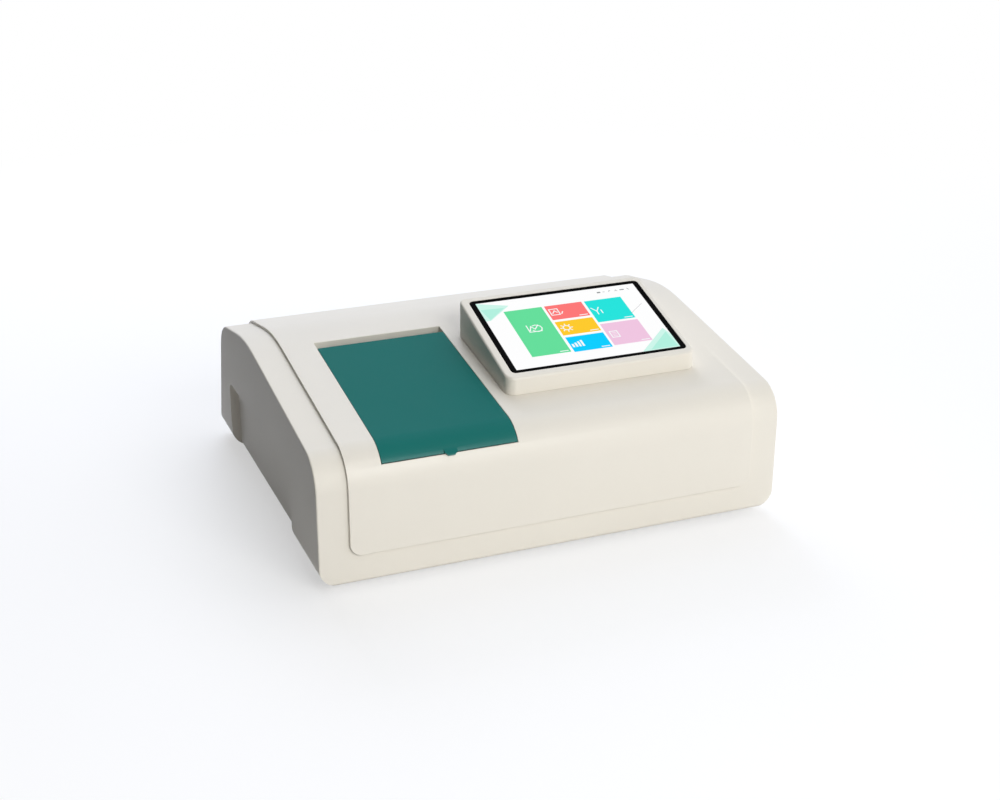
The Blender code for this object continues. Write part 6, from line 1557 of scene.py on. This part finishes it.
@dataclass
class Studio:
    """Pale floor, soft lamps and the camera of the photograph."""

    eye: tuple[float, float, float] = (-0.57154, -1.46154, 0.74862)
    yaw: float = math.radians(22.0)
    pitch: float = math.radians(23.06)
    roll: float = math.radians(0.275)
    lens: float = 59.094
    floor_reach: float = 14.0
    floor_white: float = 0.54
    floor_near: float = 0.55
    floor_far: float = 1.5
    bounce: float = 0.80
    bounce_span: Spot = (-0.62, -0.22)
    sky: float = 0.96
    sky_span: Spot = (-0.45, 0.55)
    sky_colour: Colour = (0.98, 0.985, 1.04)
    overhead: float = 0.10
    overhead_span: Spot = (0.05, 0.40)
    lamps: tuple = (
        ("front_softbox", (0.25, -2.2, 1.3), 1.4, 30.3, (1.0, 1.0, 0.975), True),
        ("top_softbox", (0.45, 1.4, 2.0), 2.0, 14.6, (0.91, 1.03, 1.19), False),
        ("rear_softbox", (0.3, 2.6, 1.5), 1.6, 32.0, (0.98, 1.02, 1.20), False),
    )

    def build(self) -> None:
        """Set floor, world, lamps and camera."""
        self.floor()
        self.world()
        for name, place, size, power, colour, mirrored in self.lamps:
            light = bpy.data.lights.new(name, "AREA")
            light.shape = "DISK"
            light.size = size
            light.energy = power
            light.color = colour
            lamp = bpy.data.objects.new(name, light)
            lamp.location = place
            aim = Vector((0, 0, 0.08)) - Vector(place)
            lamp.rotation_euler = aim.to_track_quat("-Z", "Y").to_euler()
            lamp.visible_glossy = mirrored
            bpy.context.scene.collection.objects.link(lamp)
        self.camera()
        bpy.context.scene.view_settings.view_transform = "Standard"

    @staticmethod
    def seen(graph: Graph) -> Socket:
        """Tell which rays show a surface to the eye, straight, mirrored or through glass.

        Args:
            graph: Graph that is added to.

        Returns:
            1 for such rays, else 0.
        """
        path = graph.add("LightPath").outputs
        shown = graph.math("MAXIMUM", path["Is Camera Ray"], path["Is Glossy Ray"])
        return graph.math("MAXIMUM", shown, path["Is Transmission Ray"])

    def floor(self) -> None:
        """Lay the floor: white to the eye with the object's shadow, duller in the light it throws back."""
        data = bpy.data.meshes.new("floor")
        corners = ((-1, -1), (1, -1), (1, 1), (-1, 1))
        data.from_pydata([(x * self.floor_reach, y * self.floor_reach, 0) for x, y in corners], [],
                         [(0, 1, 2, 3)])
        material = bpy.data.materials.new("Pale floor")
        material.use_nodes = True
        graph = Graph(material.node_tree)
        place = graph.place()
        away = graph.add("VectorMath", {0: place}, operation="LENGTH").outputs["Value"]
        white = graph.span(away, self.floor_white, 1.0, self.floor_near, self.floor_far)
        left = graph.add("SeparateXYZ", {0: place}).outputs["X"]
        bounce = graph.span(left, 0.0, self.bounce, *self.bounce_span)
        seen = self.seen(graph)
        pale = graph.times(graph.math("SUBTRACT", 1.0, white), 0.98)
        shader = material.node_tree.nodes["Principled BSDF"]
        for label, value in {"Base Color": graph.blend(seen, bounce, pale), "Roughness": 0.9,
                             "Emission Color": graph.blend(seen, (0, 0, 0), white),
                             "Emission Strength": 1.0, "Specular IOR Level": 0.0}.items():
            graph.feed(shader.inputs[label], value)
        data.materials.append(material)
        floor = bpy.data.objects.new("floor", data)
        bpy.context.scene.collection.objects.link(floor)

    def world(self) -> None:
        """Surround the scene with white to the eye and a soft light that fades to the left."""
        world = bpy.data.worlds.new("studio")
        bpy.context.scene.world = world
        world.use_nodes = True
        graph = Graph(world.node_tree)
        background = world.node_tree.nodes["Background"]
        ways = graph.add("SeparateXYZ", {0: graph.add("TexCoord").outputs["Generated"]}).outputs
        sky = graph.scaled(self.sky_colour, graph.span(ways["X"], 0.0, self.sky, *self.sky_span))
        mirrored = graph.span(ways["Z"], 1.0, self.overhead, *self.overhead_span)
        shown = graph.math("MAXIMUM", mirrored, graph.add("LightPath").outputs["Is Camera Ray"])
        white = graph.scaled((1.0, 1.0, 1.0), shown)
        graph.feed(background.inputs["Color"], graph.blend(self.seen(graph), sky, white))
        background.inputs["Strength"].default_value = 1.0

    def camera(self) -> None:
        """Put the camera where the photograph was taken."""
        ahead = Vector((math.sin(self.yaw) * math.cos(self.pitch), math.cos(self.yaw) * math.cos(self.pitch),
                        -math.sin(self.pitch)))
        level = Vector((math.cos(self.yaw), -math.sin(self.yaw), 0))
        upward = level.cross(ahead)
        right = math.cos(self.roll) * level + math.sin(self.roll) * upward
        upward = math.cos(self.roll) * upward - math.sin(self.roll) * level
        view = bpy.data.cameras.new("camera")
        view.lens = self.lens
        view.sensor_width = 36.0
        view.clip_start = 0.05
        view.clip_end = 60.0
        camera = bpy.data.objects.new("camera", view)
        rows = zip(right, upward, -ahead, self.eye)
        camera.matrix_world = Matrix((*rows, (0, 0, 0, 1)))
        bpy.context.scene.collection.objects.link(camera)
        bpy.context.scene.camera = camera


def plain_finishes() -> list[Finish]:
    """Return the moulded, coated and cast finishes."""
    cream = (0.815, 0.772, 0.680)
    return [
        Finish("Body plastic", Slot.CREAM, cream, 0.45, 0.59, specular=0.28, grain=0.0007,
               rise=0.000012, spread=0.02, dust=0.05),
        Finish("Cover plastic", Slot.COVER, cream, 0.34, 0.46, specular=0.42, spread=0.02, dust=0.05),
        Finish("Teal lid plastic", Slot.TEAL, (0.0012, 0.160, 0.140), 0.28, 0.33, specular=0.62,
               rise=0.000006, spread=0.05, dust=0.004),
        Finish("Black plastic", Slot.BLACK_PLASTIC, (0.014, 0.014, 0.015), 0.42, 0.62, specular=0.35,
               rise=0.000014, spread=0.15, dust=0.03),
        Finish("Black rubber", Slot.RUBBER, (0.018, 0.018, 0.018), 0.72, 0.90, specular=0.25,
               grain=0.0010, rise=0.000030, spread=0.20, dust=0.10),
        Finish("Black anodised metal", Slot.ANODISED, (0.018, 0.018, 0.020), 0.34, 0.50, specular=0.4,
               metallic=0.55, grain=0.0003, rise=0.000006, spread=0.12, dust=0.02),
        Finish("Black screen glass", Slot.SCREEN, (0.0035, 0.0035, 0.0038), 0.05, 0.16, specular=0.04,
               grain=0.004, cells=0.0, rise=0.000002, spread=0.10, dust=0.004),
        Finish("Powder-coated sheet", Slot.SHEET, (0.66, 0.645, 0.58), 0.42, 0.58, specular=0.35,
               grain=0.0011, cells=0.7, rise=0.000022, spread=0.04, dust=0.05),
        Finish("Unglazed ceramic", Slot.CERAMIC, (0.80, 0.77, 0.71), 0.66, 0.86, specular=0.25,
               grain=0.0005, rise=0.00002, spread=0.08),
        Finish("Mirror coat", Slot.MIRROR, (0.92, 0.93, 0.94), 0.015, 0.09, metallic=1.0,
               grain=0.003, cells=0.0, rise=0.0000006, spread=0.01),
        Finish("Cast aluminium", Slot.ALUMINIUM, (0.60, 0.605, 0.61), 0.40, 0.58, metallic=1.0,
               grain=0.0012, cells=0.8, rise=0.00004, spread=0.08, dust=0.04),
        Finish("Printed white", Slot.BLACK_PLASTIC, (0.78, 0.78, 0.77), 0.40, 0.55, specular=0.35,
               grain=0.0003, rise=0.000004),
    ]


def rules() -> list[Finish]:
    """Return every finish of the instrument."""
    lit = {"white": (1.0, 1.0, 1.0), "green": (0.132, 0.745, 0.335), "coral": (1.0, 0.190, 0.190),
           "orange": (1.0, 0.600, 0.024), "blue": (0.001, 0.620, 1.0), "turquoise": (0.018, 0.780, 0.720),
           "pink": (0.880, 0.570, 0.760), "pale mint": (0.62, 0.93, 0.83), "mint": (0.45, 0.88, 0.74),
           "line white": (0.93, 0.96, 0.96), "grey": (0.30, 0.31, 0.32)}
    glasses = {"Amber": (0.90, 0.42, 0.06), "Violet": (0.22, 0.10, 0.50), "Grey": (0.32, 0.34, 0.35),
               "Clear": (0.97, 0.985, 0.99)}
    plate, green = 0.0017, (0.016, 0.118, 0.058)
    boards = (("Supply", (0.030, 0.110, 0.045), 0.34, 0.50, (0, 0, 1), 1.0),
              ("Main", green, 0.32, 0.48, (0, 0, 1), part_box("main_board")[0].z + plate),
              ("Detector", green, 0.32, 0.48, (-1, 0, 0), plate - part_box("detector_board")[1].x))
    return plain_finishes() + [
        BrushedFinish("Bright steel", Slot.STEEL, (0.56, 0.57, 0.58), 0.18, 0.38, metallic=1.0,
                      rise=0.000003, spread=0.06, stretch=(60.0, 5200.0, 5200.0)),
        BrushedFinish("Milled aluminium", Slot.ALUMINIUM, (0.66, 0.67, 0.68), 0.30, 0.48, metallic=1.0,
                      rise=0.000006, spread=0.05, dust=0.03, stretch=(30.0, 1500.0, 1500.0)),
        BrushedFinish("Black oxide steel", Slot.STEEL, (0.035, 0.035, 0.038), 0.32, 0.50, metallic=0.8,
                      rise=0.000003, spread=0.10, stretch=(900.0, 900.0, 900.0)),
        BrushedFinish("Gold contact", Slot.STEEL, (0.83, 0.60, 0.24), 0.16, 0.30, metallic=1.0,
                      rise=0.000002, spread=0.05, stretch=(900.0, 5200.0, 900.0)),
        GratingFinish("Ruled coating", Slot.MIRROR, (0.90, 0.91, 0.93), 0.06, 0.16, metallic=1.0,
                      rise=0.000004, pitch=0.0003),
        *(LitFinish(f"Lit {name}", Slot.SCREEN, colour, 0.14, 0.30, specular=0.12, grain=0.00025,
                    rise=0.000001, spread=0.012) for name, colour in lit.items()),
        *(ClearFinish(f"{name} glass", Slot.GLASS, colour, 0.0, 0.06, grain=0.005, rise=0.0000015,
                      spread=0.01) for name, colour in glasses.items()),
        *(BoardFinish(f"{name} circuit board", Slot.BOARD, colour, smooth, rough, rise=0.00004,
                      along=along, level=level) for name, colour, smooth, rough, along, level in boards),
    ]


DRESS = {
    "Body plastic": ("lower_case",),
    "Cover plastic": ("main_cover", "console_housing"),
    "Teal lid plastic": ("sample_lid",),
    "Black screen glass": ("touch_glass",),
    "Black rubber": ("foot_front_left", "foot_front_right", "foot_rear_left", "foot_rear_right",
                     "lid_gasket"),
    "Black plastic": ("sample_tub", "fan_frame", "fan_rotor", "power_inlet", "fuse_drawer",
                      "power_switch_frame", "power_rocker", "display_module"),
    "Black anodised metal": ("cell_holder", "cell_drive_motor", "detector_housing", "monochromator_cover",
                             "collimating_mirror_mount", "focusing_mirror_mount", "grating_turntable",
                             "grating_motor", "lens_mount", "filter_wheel", "filter_motor",
                             "source_mirror_motor"),
    "Bright steel": ("lid_hinge_pin", "hinge_bracket_left", "hinge_bracket_right", "guide_rod_left",
                     "guide_rod_right", "cell_drive_screw", "photodiode", "entrance_slit", "exit_slit",
                     "fan_guard", "usb_port", "serial_port"),
    "Milled aluminium": ("optical_bench", "cell_carriage"),
    "Cast aluminium": ("monochromator_housing",),
    "Powder-coated sheet": ("rear_panel", "lamp_housing", "power_supply"),
    "Mirror coat": ("collimating_mirror", "focusing_mirror", "source_mirror"),
    "Ruled coating": ("diffraction_grating",),
    "Clear glass": ("beam_window_left", "beam_window_right", "detector_lens", "condenser_lens",
                    "deuterium_lamp"),
    "Unglazed ceramic": ("tungsten_lamp",),
    "Main circuit board": ("main_board",),
    "Detector circuit board": ("detector_board",),
}


def dress_solids(shop: Workshop) -> None:
    """Give every solid its finish and report those that have none.

    Args:
        shop: The frame and the finishes.
    """
    left = set(shop.frame["nodes"])
    for look, names in DRESS.items():
        left.difference_update(names)
        for name in names:
            for slot in shop.frame["nodes"][name].material_slots:
                slot.material = shop.looks[look]
    LOG.info("solids without a finish: %s", sorted(left) or "none")


def main() -> None:
    """Dress the frame, add the fine pieces and set the studio."""
    logging.basicConfig(level=logging.INFO, format="%(message)s")
    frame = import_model()
    effects = Effects()
    finishes = {finish.name: finish for finish in rules()}
    looks = {name: finish.build(effects) for name, finish in finishes.items()}
    shop = Workshop(frame, finishes, looks)
    dress_solids(shop)
    for assembly in (CaseShell, ScreenConsole, RearFittings, SampleCompartment, InnerOptics, Electronics,
                     FineEdges):
        LOG.info("building %s", assembly.__name__)
        assembly(shop).build()
    Studio().build()


if __name__ == "__main__":
    main()
